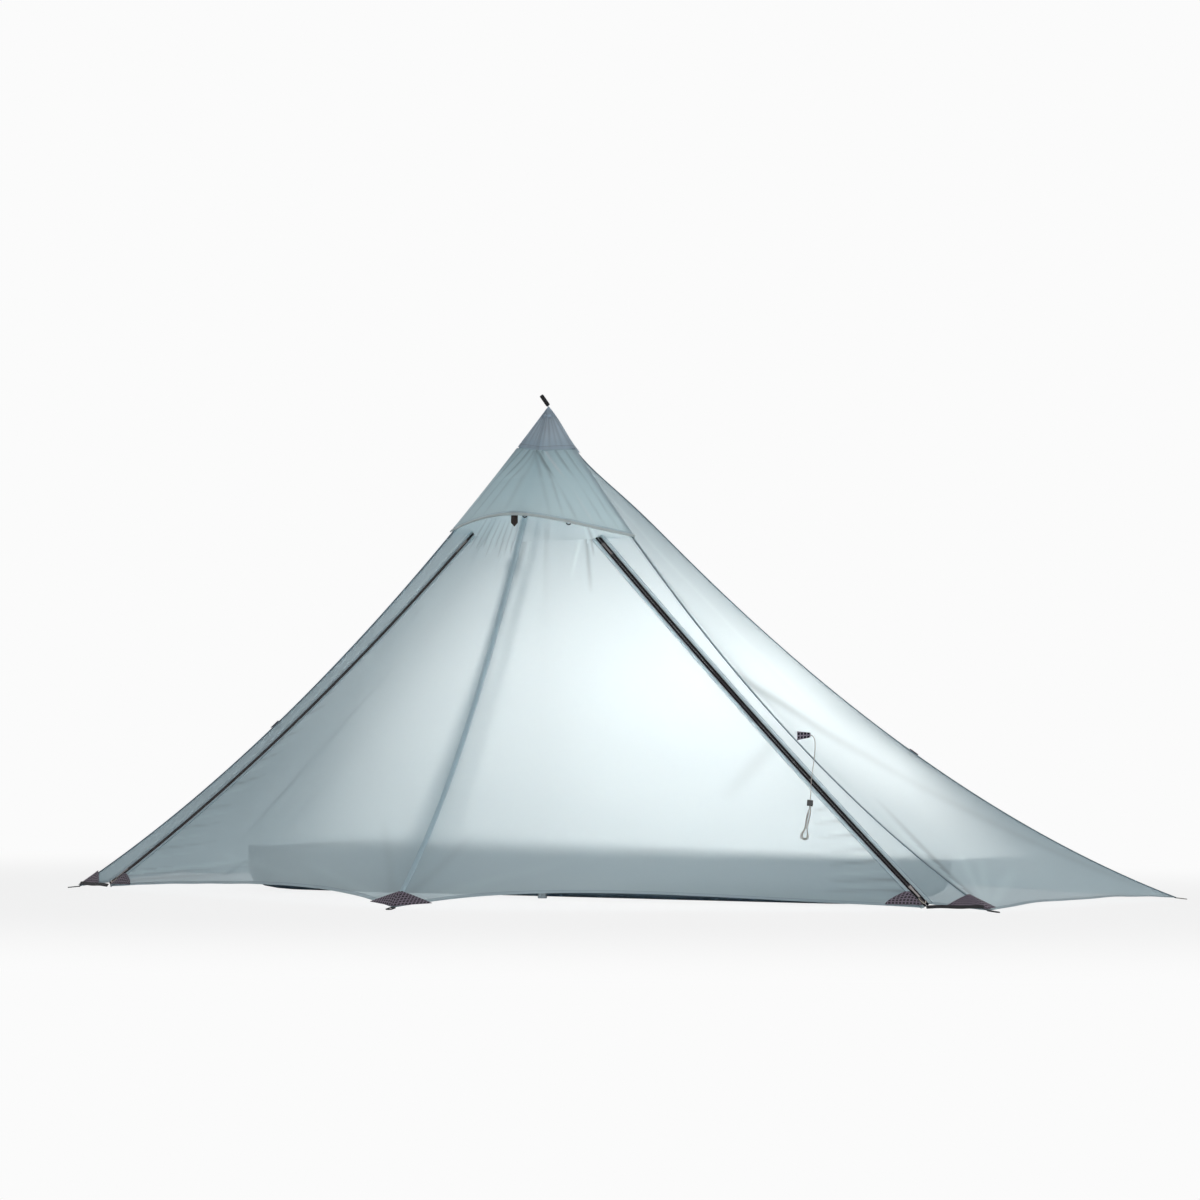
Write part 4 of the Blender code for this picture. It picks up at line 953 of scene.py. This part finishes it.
# How far the patches at the stake corners run out along the two hems beside them.
FRONT_PATCH_WIDTH = 0.105
SIDE_PATCH_WIDTHS = (0.118, 0.045)
# How far from its corner the two points lie that a side patch points to along its hems.
SIDE_PATCH_AIMS = (0.12, 0.05)


def patch_piece(name, points, body, replaced):
    """A patch of gridstop cloth from a grid of points."""
    made = grid_piece(name, points, gridstop)
    thicken(made, 0.0009)
    dress(made, body, "gridstop", replaced)


def ridge_patch(ridge, first_foot, second_foot, widths):
    """A patch over a ridge's foot: on each side it runs out along the hem and up to a point on the ridge."""
    down = np.linspace(0, 1, 14)
    centre = ridge_line(ridge, 1 - PATCH_RISE / np.linalg.norm(corner(ridge) - apex) * down)
    out = ridge_out(ridge, 1.1)
    taper = (1 - down) ** 0.9
    columns = []
    for foot, width, spread in (
        (first_foot, widths[0], np.linspace(1, 0, 7)[:-1]), (second_foot, widths[1], np.linspace(0, 1, 7)),
    ):
        way = unit(foot - corner(ridge))
        normal = facing(unit(np.cross(way, unit(centre[-1] - centre[0]))), corner(ridge))
        for step in spread:
            beside = min(1, step * 3)
            lift = normal * PATCH_LIFT * beside + out * PATCH_SEAM_LIFT * (1 - beside)
            if step == 0:
                lift = lift - out * PATCH_SEAM_DROP
            columns.append(centre + way * (np.maximum(width * taper, 0.004) * step)[:, None] + lift)
    grid = np.stack(columns, axis=1)
    grid[..., 2] = np.maximum(grid[..., 2], 0.0012)
    patch_piece(f"corner_patch_{ridge}", grid, "fly", f"patch_{ridge}")


def door_patch(wall, body):
    """The patch at the door's foot corner, a curved-sided triangle beside the zip."""
    up = np.linspace(0, 1, 14)
    shares = 1 - (DOOR_PATCH_FOOT + (DOOR_PATCH_TOP - DOOR_PATCH_FOOT) * up) / wall.zip_length
    edge = wall.zip_line(shares) + wall.inward * TAPE_HALF
    way = unit(wall.fold_line(shares) - edge)
    width = DOOR_PATCH_WIDTH * (1 - 0.86 * up**1.25)
    grid = np.stack([edge + way * (width * step)[:, None] for step in np.linspace(0, 1, 12)], axis=1)
    name = f"patch_door_{wall.side}"
    patch_piece(f"door_patch_{wall.side}", grid + wall.normal * DOOR_PATCH_LIFT, body, name)


for side in ("left", "right"):
    rear_spot = hem_spot(side, SIDE_PATCH_AIMS[1], f"rear_{side}", ARCH_SIDE)
    ridge_patch(side, hem_spot(side, SIDE_PATCH_AIMS[0]), rear_spot, SIDE_PATCH_WIDTHS)
feet = (hem_spot(side, wall.length - FRONT_PATCH_WIDTH) for side, wall in half.items())
ridge_patch("front", *feet, (FRONT_PATCH_WIDTH, FRONT_PATCH_WIDTH))
door_patch(half["left"], "door_left")
door_patch(half["right"], "fly")
print("patches done")

# %% [markdown]
# Webbing and tabs. Black webbing along each strip's hem takes the pull between the stake and the zip. A flat
# loop at every corner takes the stake, and a tab of patch cloth stands halfway up four ridges for a guyline.
# Only the right one carries a cord, so the others lie down on their panels.


# %% Hem straps, tie-outs and ridge tabs
HEM_STRAP_WIDTH = 0.0108
HEM_STRAP_THICKNESS = 0.0017
for side, wall in half.items():
    low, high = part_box(f"strap_{side}")
    outer, inner = (high[0], low[0]) if side == "right" else (low[0], high[0])
    start, end = np.array([outer, high[1], 0.0]), np.array([inner, low[1], 0.0])
    share = np.linspace(0.03, 1.17, 30)[:, None]
    line = start + (end - start) * share + UP * ((low[2] + high[2]) / 2 + 0.0008 * np.sin(share * 9))
    profile = oval(HEM_STRAP_WIDTH, HEM_STRAP_THICKNESS, 12, 0.45)
    sweep(f"hem_strap_{side}", line, wall.normal, profile, webbing, "fly", "webbing", f"strap_{side}")

for ridge in RIDGES:
    out = ridge_out(ridge)
    centre = corner(ridge) + out * (LOOP_LENGTH / 2 - 0.003)
    centre[2] = 0.0040
    finish = pale_webbing if ridge.startswith("rear") else webbing
    webbing_ring(
        f"stake_loop_{ridge}", centre, unit(out - UP * 0.11), np.cross(UP, out), (LOOP_LENGTH, 0.020),
        (0.005, 0.0030), finish, "fly", f"tie_out_{ridge}")

# A tab's place on its ridge, its length, and half its width where it is sewn on and at its tip.
TAB_SHARE = 0.575
TAB_LENGTH = 0.046
TAB_HALF = 0.015
TAB_TIP_HALF = 0.0065
# The standing tab starts clear of its seam, and a lying one a little behind it.
TAB_CLEAR = 0.0052
TAB_BEHIND = 0.003


def standing_tab(ridge):
    """A tapered tab of gridstop cloth that stands out from a ridge, with the guyline at its tip."""
    spot = ridge_line(ridge, TAB_SHARE) + UP * TAB_HALF
    out = unit([spot[0], spot[1], 0])
    tangent = unit(corner(ridge) - apex)
    slope = -tangent[2] / (tangent @ out)
    run = np.linspace(TAB_CLEAR, TAB_LENGTH, 18)
    share = (run - run[0]) / (run[-1] - run[0])
    top = (1 - share) * (TAB_HALF - TAB_CLEAR * slope) + share * TAB_TIP_HALF
    foot = (1 - share) * (TAB_CLEAR - TAB_CLEAR * slope - TAB_HALF) - share * TAB_TIP_HALF
    bend = np.cross(out, UP) * (0.0012 * np.sin(share * math.pi))[:, None]
    rows = [
        spot + out * run[:, None] + UP * (foot + (top - foot) * step)[:, None] + bend
        for step in np.linspace(0, 1, 9)]
    patch_piece(f"guy_tab_{ridge}", np.stack(rows, axis=1), "fly", f"tab_{ridge}")


def lying_tab(ridge, beyond):
    """A tab that holds no cord. It lies over its seam and down the panel toward another ridge."""
    spot = ridge_line(ridge, TAB_SHARE)
    tangent = unit(ridge_line(ridge, TAB_SHARE + 0.005) - ridge_line(ridge, TAB_SHARE - 0.005))
    way = ridge_line(beyond, TAB_SHARE) - spot
    way = unit(way - tangent * (way @ tangent))
    normal = facing(np.cross(tangent, way), UP)
    share = np.linspace(0, 1, 18)
    height = 0.0046 - 0.0024 * share + 0.0012 * np.sin(share * math.pi)
    half_width = TAB_HALF + (TAB_TIP_HALF - TAB_HALF) * share
    middle = spot + way * (TAB_LENGTH * share - TAB_BEHIND)[:, None] + normal * height[:, None]
    rows = [middle + tangent * (half_width * place)[:, None] for place in np.linspace(-1, 1, 9)]
    patch_piece(f"guy_tab_{ridge}", np.stack(rows, axis=1), "fly", f"tab_{ridge}")


standing_tab("right")
lying_tab("left", "rear_left")
lying_tab("rear_right", "rear_left")
lying_tab("rear_left", "rear_right")
print("stake loops", len(RIDGES), "tabs", 4)

# %% [markdown]
# The guyline. It is one cord: out of the tab's tip, clear over the zip, through the line-lock and into a
# hank of three long loops. The points of the free run repeat the CAD route, and the loops follow one
# outline, narrow at the top, drawn in at the waist and open in a ring at the foot.

# %% Guyline and hank
GUY_CROSSING = (0.9589, 0.0028, 0.0095)
GUY_LOCK = (1.0509, 0.0538, 0.0055)
HANK_FOOT = (1.2133, 0.1578, 0.0055)
HANK_LENGTH = 0.112
HANK_HALF_WIDTH = 0.0115
HANK_PITCH = 0.0030
HANK_LOOPS = 3
LOOP_POINTS = 24
# The outline of a loop's one half: shares of its length, and its half width at each of them.
way_shares = np.array([0.0, 0.02, 0.06, 0.15, 0.35, 0.55, 0.66, 0.74, 0.82, 0.90, 0.96, 0.99, 1.0])
width_shares = np.array([0.0, 0.17, 0.27, 0.34, 0.36, 0.28, 0.18, 0.50, 0.86, 1.0, 0.80, 0.42, 0.0])


def smooth(line, rounds=2):
    """Round off a line's corners by cutting each one a quarter of the way along both runs."""
    for _ in range(rounds):
        cut = np.stack([line[:-1] * 0.75 + line[1:] * 0.25, line[:-1] * 0.25 + line[1:] * 0.75], axis=1)
        line = np.concatenate([line[:1], cut.reshape(-1, 3), line[-1:]])
    return line


def guyline_route(wall):
    """The whole cord's centreline, and the way out from the door at its hank."""
    tip = ridge_line(wall.side, TAB_SHARE)
    out = unit([tip[0], tip[1], 0])
    start = tip + UP * TAB_HALF + out * (TAB_LENGTH + 0.0003)
    crossing = wall.above(*GUY_CROSSING)
    lock = wall.above(*GUY_LOCK)
    run = unit(lock - crossing)
    t = np.linspace(0, 1, 30)[:, None]
    bend = (1 - t) ** 3 * start + 3 * t * (1 - t) ** 2 * (start + out * 0.03)
    bend = bend + 3 * t**2 * (1 - t) * (crossing - run * 0.03) + t**3 * crossing
    end = lock + run * 0.012
    down = unit(wall.above(*HANK_FOOT) - end)
    over = unit(np.cross(down, wall.normal))
    off = facing(np.cross(over, down), wall.normal)
    ways = np.concatenate([way_shares, way_shares[-2::-1]])
    widths = np.concatenate([width_shares, -width_shares[-2::-1]])
    step = np.hypot(np.diff(ways) * HANK_LENGTH, np.diff(widths) * HANK_HALF_WIDTH)
    lengths = np.concatenate([[0], step.cumsum()])
    turn = np.arange(2, HANK_LOOPS * LOOP_POINTS + 1)
    places = (turn % LOOP_POINTS) / LOOP_POINTS * lengths[-1]
    loops = end + (0.005 + np.interp(places, lengths, ways) * HANK_LENGTH)[:, None] * down
    spread = HANK_HALF_WIDTH * (1.05 - 0.30 * (turn // LOOP_POINTS) + 0.10 * (turn // (2 * LOOP_POINTS)))
    loops = loops + (np.interp(places, lengths, widths) * spread)[:, None] * over
    loops = loops + (turn / LOOP_POINTS * HANK_PITCH)[:, None] * off
    return smooth(np.concatenate([bend, [lock, end, end + run * 0.0025], loops])), off


route, off_door = guyline_route(half["right"])
guy = sweep(
    "guyline_cord", route, off_door, oval(CORD, CORD, 8, 1.0), cord_braid, "fly", "cord_white",
    "guyline", "guyline_hank")

# %% [markdown]
# Hard pieces keep their CAD shape and get metal or moulded plastic with a fine uneven polish.

# %% Line-lock, sliders, hooks and pole
for material, names in (
    (hook_metal, ("hook_left", "hook_right")),
    (zip_metal, ("slider_left_top", "slider_left_foot")),
    (zip_metal, ("slider_right_top", "slider_right_foot", "inner_slider")),
    (plastic, ("line_lock",)),
    (pole_metal, ("pole_lower", "pole_upper")),
    (pole_grip, ("pole_lever",)),
):
    for name in names:
        nodes[name].data.materials.clear()
        nodes[name].data.materials.append(material)
    print(material.name, "on", *names)

# %% [markdown]
# The pad between the pole's tip and the cone is a small round cap of the same doubled cloth.

# %% Pad under the peak
# Each ring's radius and its way down from the pad's top, as shares of the pad's radius and height.
PAD_RINGS = ((0.02, 0.04), (0.5, 0.05), (0.8, 0.12), (0.94, 0.35), (0.99, 0.7), (1.0, 0.98))
low, high = (np.array(v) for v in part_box("peak_pocket"))
turn = np.linspace(0, 2 * math.pi, 48, endpoint=False)
rim = np.stack([np.cos(turn), np.sin(turn)], axis=1) * (high[0] - low[0]) / 2
pad_points = np.stack([
    np.column_stack([rim * share, np.full(len(rim), high[2] - drop * (high[2] - low[2]))])
    for share, drop in PAD_RINGS])
pad = grid_piece("peak_pocket_cloth", pad_points[:, ::-1], cone_cloth, {"tape": FAR, "hem": FAR}, wrap=True)
thicken(pad, 0.0005, -1)
dress(pad, "fly", "cone_cloth", "peak_pocket")
declare_cloth(pad, pad_points)

# %% [markdown]
# The inner tent hangs inside: a tub of darker coated cloth whose rim dips a little between its corners, and
# four walls of insect mesh that rise to one point behind the pole.

# %% Tub and mesh walls
# The rings of the tub between its first and last one: how far each lies inside the outline, and its height.
TUB_RINGS = (
    (0.100, 0.0008), (0.070, 0.004), (0.040, 0.011), (0.016, 0.025), (0.004, 0.048), (0.001, 0.07),
    (0.001, 0.10), (0.001, 0.118))
RIM_DIP = 0.004


def tub():
    """The tub floor with rounded corners and a soft upper edge, open at the top. Returns its box."""
    low, high = (np.array(v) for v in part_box("inner_floor"))
    centre, reach = (low + high)[:2] / 2, (high - low)[:2] / 2
    turn = np.linspace(0, 2 * math.pi, 240, endpoint=False)
    outline = squircle(turn, 0.16)
    rings = [(reach * 0.001, TUB_RINGS[0][1])]
    rings += [(reach - inset, height) for inset, height in TUB_RINGS]
    rings += [(reach - TUB_RINGS[-1][0], high[2] - RIM_DIP * (1 + np.cos(turn * 4)) / 2)]
    points = np.stack([
        np.column_stack([centre + size * outline, np.broadcast_to(height, turn.shape)])
        for size, height in rings])
    made = grid_piece("tub_floor", points, tub_cloth, {"tape": FAR, "hem": FAR}, wrap=True)
    thicken(made, 0.0004, 1)
    dress(made, "fly", "floor_cloth", "inner_floor")
    return low, high


def net(name, points, body, replaced):
    """A piece of insect mesh."""
    cloth_piece(name, points, mesh_net, {}, "mesh_cloth", replaced, body=body, rests_on="inner_floor")


INNER_PEAK = 1.20
INNER_PEAK_BACK = 0.03
NET_CLEAR = 0.001
NET_TOP = 0.985
tub_low, tub_high = tub()
inner_peak = np.array([0.0, tub_low[1] + INNER_PEAK_BACK, INNER_PEAK])
corners_in = {
    f"{end}_{side}": np.array([x, y, tub_high[2] + NET_CLEAR])
    for end, y in (("front", tub_low[1] + NET_CLEAR), ("rear", tub_high[1] - NET_CLEAR))
    for side, x in (("left", tub_low[0]), ("right", tub_high[0]))}
for side, first, second in (
    ("rear", "rear_right", "rear_left"), ("left", "rear_left", "front_left"),
    ("right", "front_right", "rear_right"),
):
    first, second = corners_in[first], corners_in[second]
    up = np.linspace(0, NET_TOP, 40)[:, None]
    edges = first + (inner_peak - first) * up, second + (inner_peak - second) * up
    net(f"net_{side}", ruled(*edges, np.linspace(0, 1, 40)), "fly", f"inner_{side}")

# %% [markdown]
# The front wall of the inner tent has a door of the same mesh, cut by an upright zip and its foot. The wall
# is flat, so each piece of mesh is laid out by its way along the tub's rim and up the slope.

# %% Front of the inner tent
DOOR_START = 1.01
DOOR_WIDTH = 0.56
DOOR_TOP = 0.985
front_left = corners_in["front_left"]
front_width = corners_in["front_right"][0] - front_left[0]
climb = inner_peak - [0, front_left[1], front_left[2]]
front_height = float(np.hypot(climb[1], climb[2]))
front_way = climb / front_height
door_end = DOOR_START + DOOR_WIDTH
tip = (front_width / 2, front_height * NET_TOP)
shoulder = (DOOR_START, DOOR_TOP)
door_tip = (DOOR_START + 0.003, DOOR_TOP - 0.008)


def on_front(x, up):
    """Points of the front mesh wall, by their way from its left corner and up its slope."""
    x, up = np.broadcast_arrays(np.asarray(x, float), np.asarray(up, float))
    return front_left + x[..., None] * np.array([1.0, 0, 0]) + up[..., None] * front_way


def net_between(name, left_edge, right_edge, body, replaced):
    """Mesh between two edges, each a row of (x, up) corners on the front wall."""
    heights = np.linspace(0, 1, 60)
    edges = []
    for edge in (left_edge, right_edge):
        x, up = np.array(edge).T
        share = up / up[-1]
        edges.append(on_front(np.interp(heights, share, x), np.interp(heights, share, up)))
    net(name, ruled(*edges, np.linspace(0, 1, 30)), body, replaced)


net_between("net_front", [(0.005, 0.0), tip], [(DOOR_START, 0.0), shoulder, tip], "fly", "inner_front")
net_between(
    "net_front_right", [(door_end, 0.0), shoulder, tip], [(front_width - 0.005, 0.0), tip],
    "fly", "inner_front")
net_between(
    "net_door", [(DOOR_START + 0.003, 0.001), door_tip], [(door_end - 0.004, 0.001), door_tip],
    "inner_door", "inner_door")
up = np.linspace(0.01, 0.99, 40)
for name, foot, top, width in (
    ("net_seam_left", 0.004, tip, 0.005),
    ("net_seam_right", front_width - 0.004, tip, 0.005),
    ("net_zip", DOOR_START, shoulder, 0.006),
):
    line = on_front(foot + (top[0] - foot) * up, top[1] * up)
    sweep(name, line, (0, -1.0, 0.05), oval(width, 0.0016, 8), tub_binding, "fly", "mesh_cloth")

# %% [markdown]
# Camera, light and floor. The camera stands where the photograph was taken, low and far off with a long
# lens. A soft key lamp stands high to its right and a weaker one behind the tent. Three small lamps inside
# the tent shine out through its cloth, and a pale sky fills the shadows.

# %% Camera
FOCAL_PIXELS = 5291.945
PICTURE = 1200
VIEW_AZIMUTH = 22.177
VIEW_DISTANCE = 15.05
VIEW_HEIGHT = 0.55
VIEW_PAN = -0.584
VIEW_PITCH = 1.14
VIEW_ROLL = 0.702


def camera_matrix():
    """The camera's place and turn: azimuth round the tent, then pan, pitch and roll, in degrees."""
    turn = math.radians(VIEW_AZIMUTH)
    spot = np.array([VIEW_DISTANCE * math.sin(turn), -VIEW_DISTANCE * math.cos(turn), VIEW_HEIGHT])
    turn = math.radians(VIEW_AZIMUTH + VIEW_PAN)
    pitch = math.radians(VIEW_PITCH)
    roll = math.radians(VIEW_ROLL)
    ahead = np.array([-math.sin(turn) * math.cos(pitch), math.cos(turn) * math.cos(pitch), math.sin(pitch)])
    right = unit(np.cross(ahead, UP))
    over = np.cross(right, ahead)
    right, over = (
        right * math.cos(roll) + over * math.sin(roll),
        over * math.cos(roll) - right * math.sin(roll),
    )
    rows = np.eye(4)
    rows[:3, 0], rows[:3, 1], rows[:3, 2], rows[:3, 3] = right, over, -ahead, spot
    return Matrix(rows.tolist())


camera = bpy.data.objects.new("camera", bpy.data.cameras.new("camera"))
camera.data.sensor_width = 36
camera.data.lens = FOCAL_PIXELS * 36 / PICTURE
camera.data.clip_end = 200
camera.matrix_world = camera_matrix()
scene.collection.objects.link(camera)
scene.camera = camera

# %% Light and floor
BACKDROP = (0.965, 0.965, 0.965, 1)
GLOW_COLOUR = (1.0, 0.89, 0.83)
MIDDLE = Vector((0, 0, 0.5))
FLOOR_REACH = 60
FLOOR_DROP = 0.0005
scene.view_settings.view_transform = "Standard"


def lamp(name, kind, spot, target, **settings):
    """A lamp that looks from a spot at a target. The camera doesn't see the lamp itself."""
    data = bpy.data.lights.new(name, kind)
    for key, value in settings.items():
        setattr(data, key, value)
    made = bpy.data.objects.new(name, data)
    made.location = spot
    made.rotation_euler = (Vector(spot) - Vector(target)).to_track_quat("Z", "Y").to_euler()
    made.visible_camera = False
    made.visible_transmission = False
    scene.collection.objects.link(made)
    return made


for name, azimuth, elevation, distance, size, power in (
    ("key", 52, 46, 7.0, 3.0, 85),
    ("back", 200, 30, 6.0, 2.5, 24),
):
    turn, rise = math.radians(azimuth), math.radians(elevation)
    way = Vector((math.sin(turn) * math.cos(rise), -math.cos(turn) * math.cos(rise), math.sin(rise)))
    lamp(name, "AREA", MIDDLE + way * distance, MIDDLE, size=size, energy=power)

# The tub's floor lies close under the inner lamps and would show a bright spot through an open door.
unlit = bpy.data.collections.new("unlit_by_glow")
unlit.objects.link(bpy.data.objects["tub_floor"])
unlit.collection_objects[0].light_linking.link_state = "EXCLUDE"

for name, spot, target, radius, angle, power in (
    ("glow_low", (0.01, 0.72, 0.085), (0.76, -0.50, 0.30), 0.03, 116, 138),
    ("glow_high", (0.0, 0.64, 0.22), (0.16, -0.40, 0.46), 0.05, 108, 22),
    ("glow_side", (0.60, 0.62, 0.20), (1.20, 0.35, 0.24), 0.10, 110, 9),
):
    glow = lamp(
        name, "SPOT", spot, target, energy=power, color=GLOW_COLOUR, shadow_soft_size=radius,
        spot_size=math.radians(angle), spot_blend=1.0)
    glow.visible_glossy = False
    glow.light_linking.receiver_collection = unlit


def sky():
    """A pale even sky that the camera, glossy and transmission rays see as white."""
    world = bpy.data.worlds.new("sky")
    scene.world = world
    world.use_nodes = True
    tree = world.node_tree
    tree.nodes.clear()
    path = node(tree, "LightPath")
    seen = maths(tree, "MAXIMUM", path.outputs["Is Camera Ray"], path.outputs["Is Glossy Ray"])
    seen = maths(tree, "MAXIMUM", seen, path.outputs["Is Transmission Ray"])
    dim = node(tree, "Background", {"Color": (0.93, 0.96, 1.0, 1), "Strength": 0.125})
    white = node(tree, "Background", {"Color": BACKDROP, "Strength": 1.0})
    node(tree, "OutputWorld", {0: node(tree, "MixShader", {0: seen, 1: dim, 2: white})})


def floor():
    """A pale floor. The camera sees it mostly as the backdrop's white, with the tent's soft shadow on it."""
    made, tree = new_material("floor_paper")
    path = node(tree, "LightPath")
    paper = node(tree, "BsdfDiffuse", {"Color": (0.86, 0.86, 0.86, 1)})
    white = node(tree, "Emission", {"Color": BACKDROP, "Strength": 1.0})
    place = node(tree, "TexCoord").outputs["Object"]
    away = node(tree, "VectorMath", {0: place}, operation="LENGTH").outputs["Value"]
    inputs = {"Value": away, "From Min": 1.6, "From Max": 4.5, "To Min": 0.88, "To Max": 1.0}
    spread = node(tree, "MapRange", inputs, interpolation_type="SMOOTHSTEP")
    share = maths(tree, "MULTIPLY", path.outputs["Is Camera Ray"], spread)
    finished(made, node(tree, "MixShader", {0: share, 1: paper, 2: white}))
    reach = (-FLOOR_REACH, FLOOR_REACH)
    grid_piece("floor", np.array([[(x, y, -FLOOR_DROP) for y in reach] for x in reach[::-1]]), made)


sky()
floor()
print("lamps", len(bpy.data.lights))
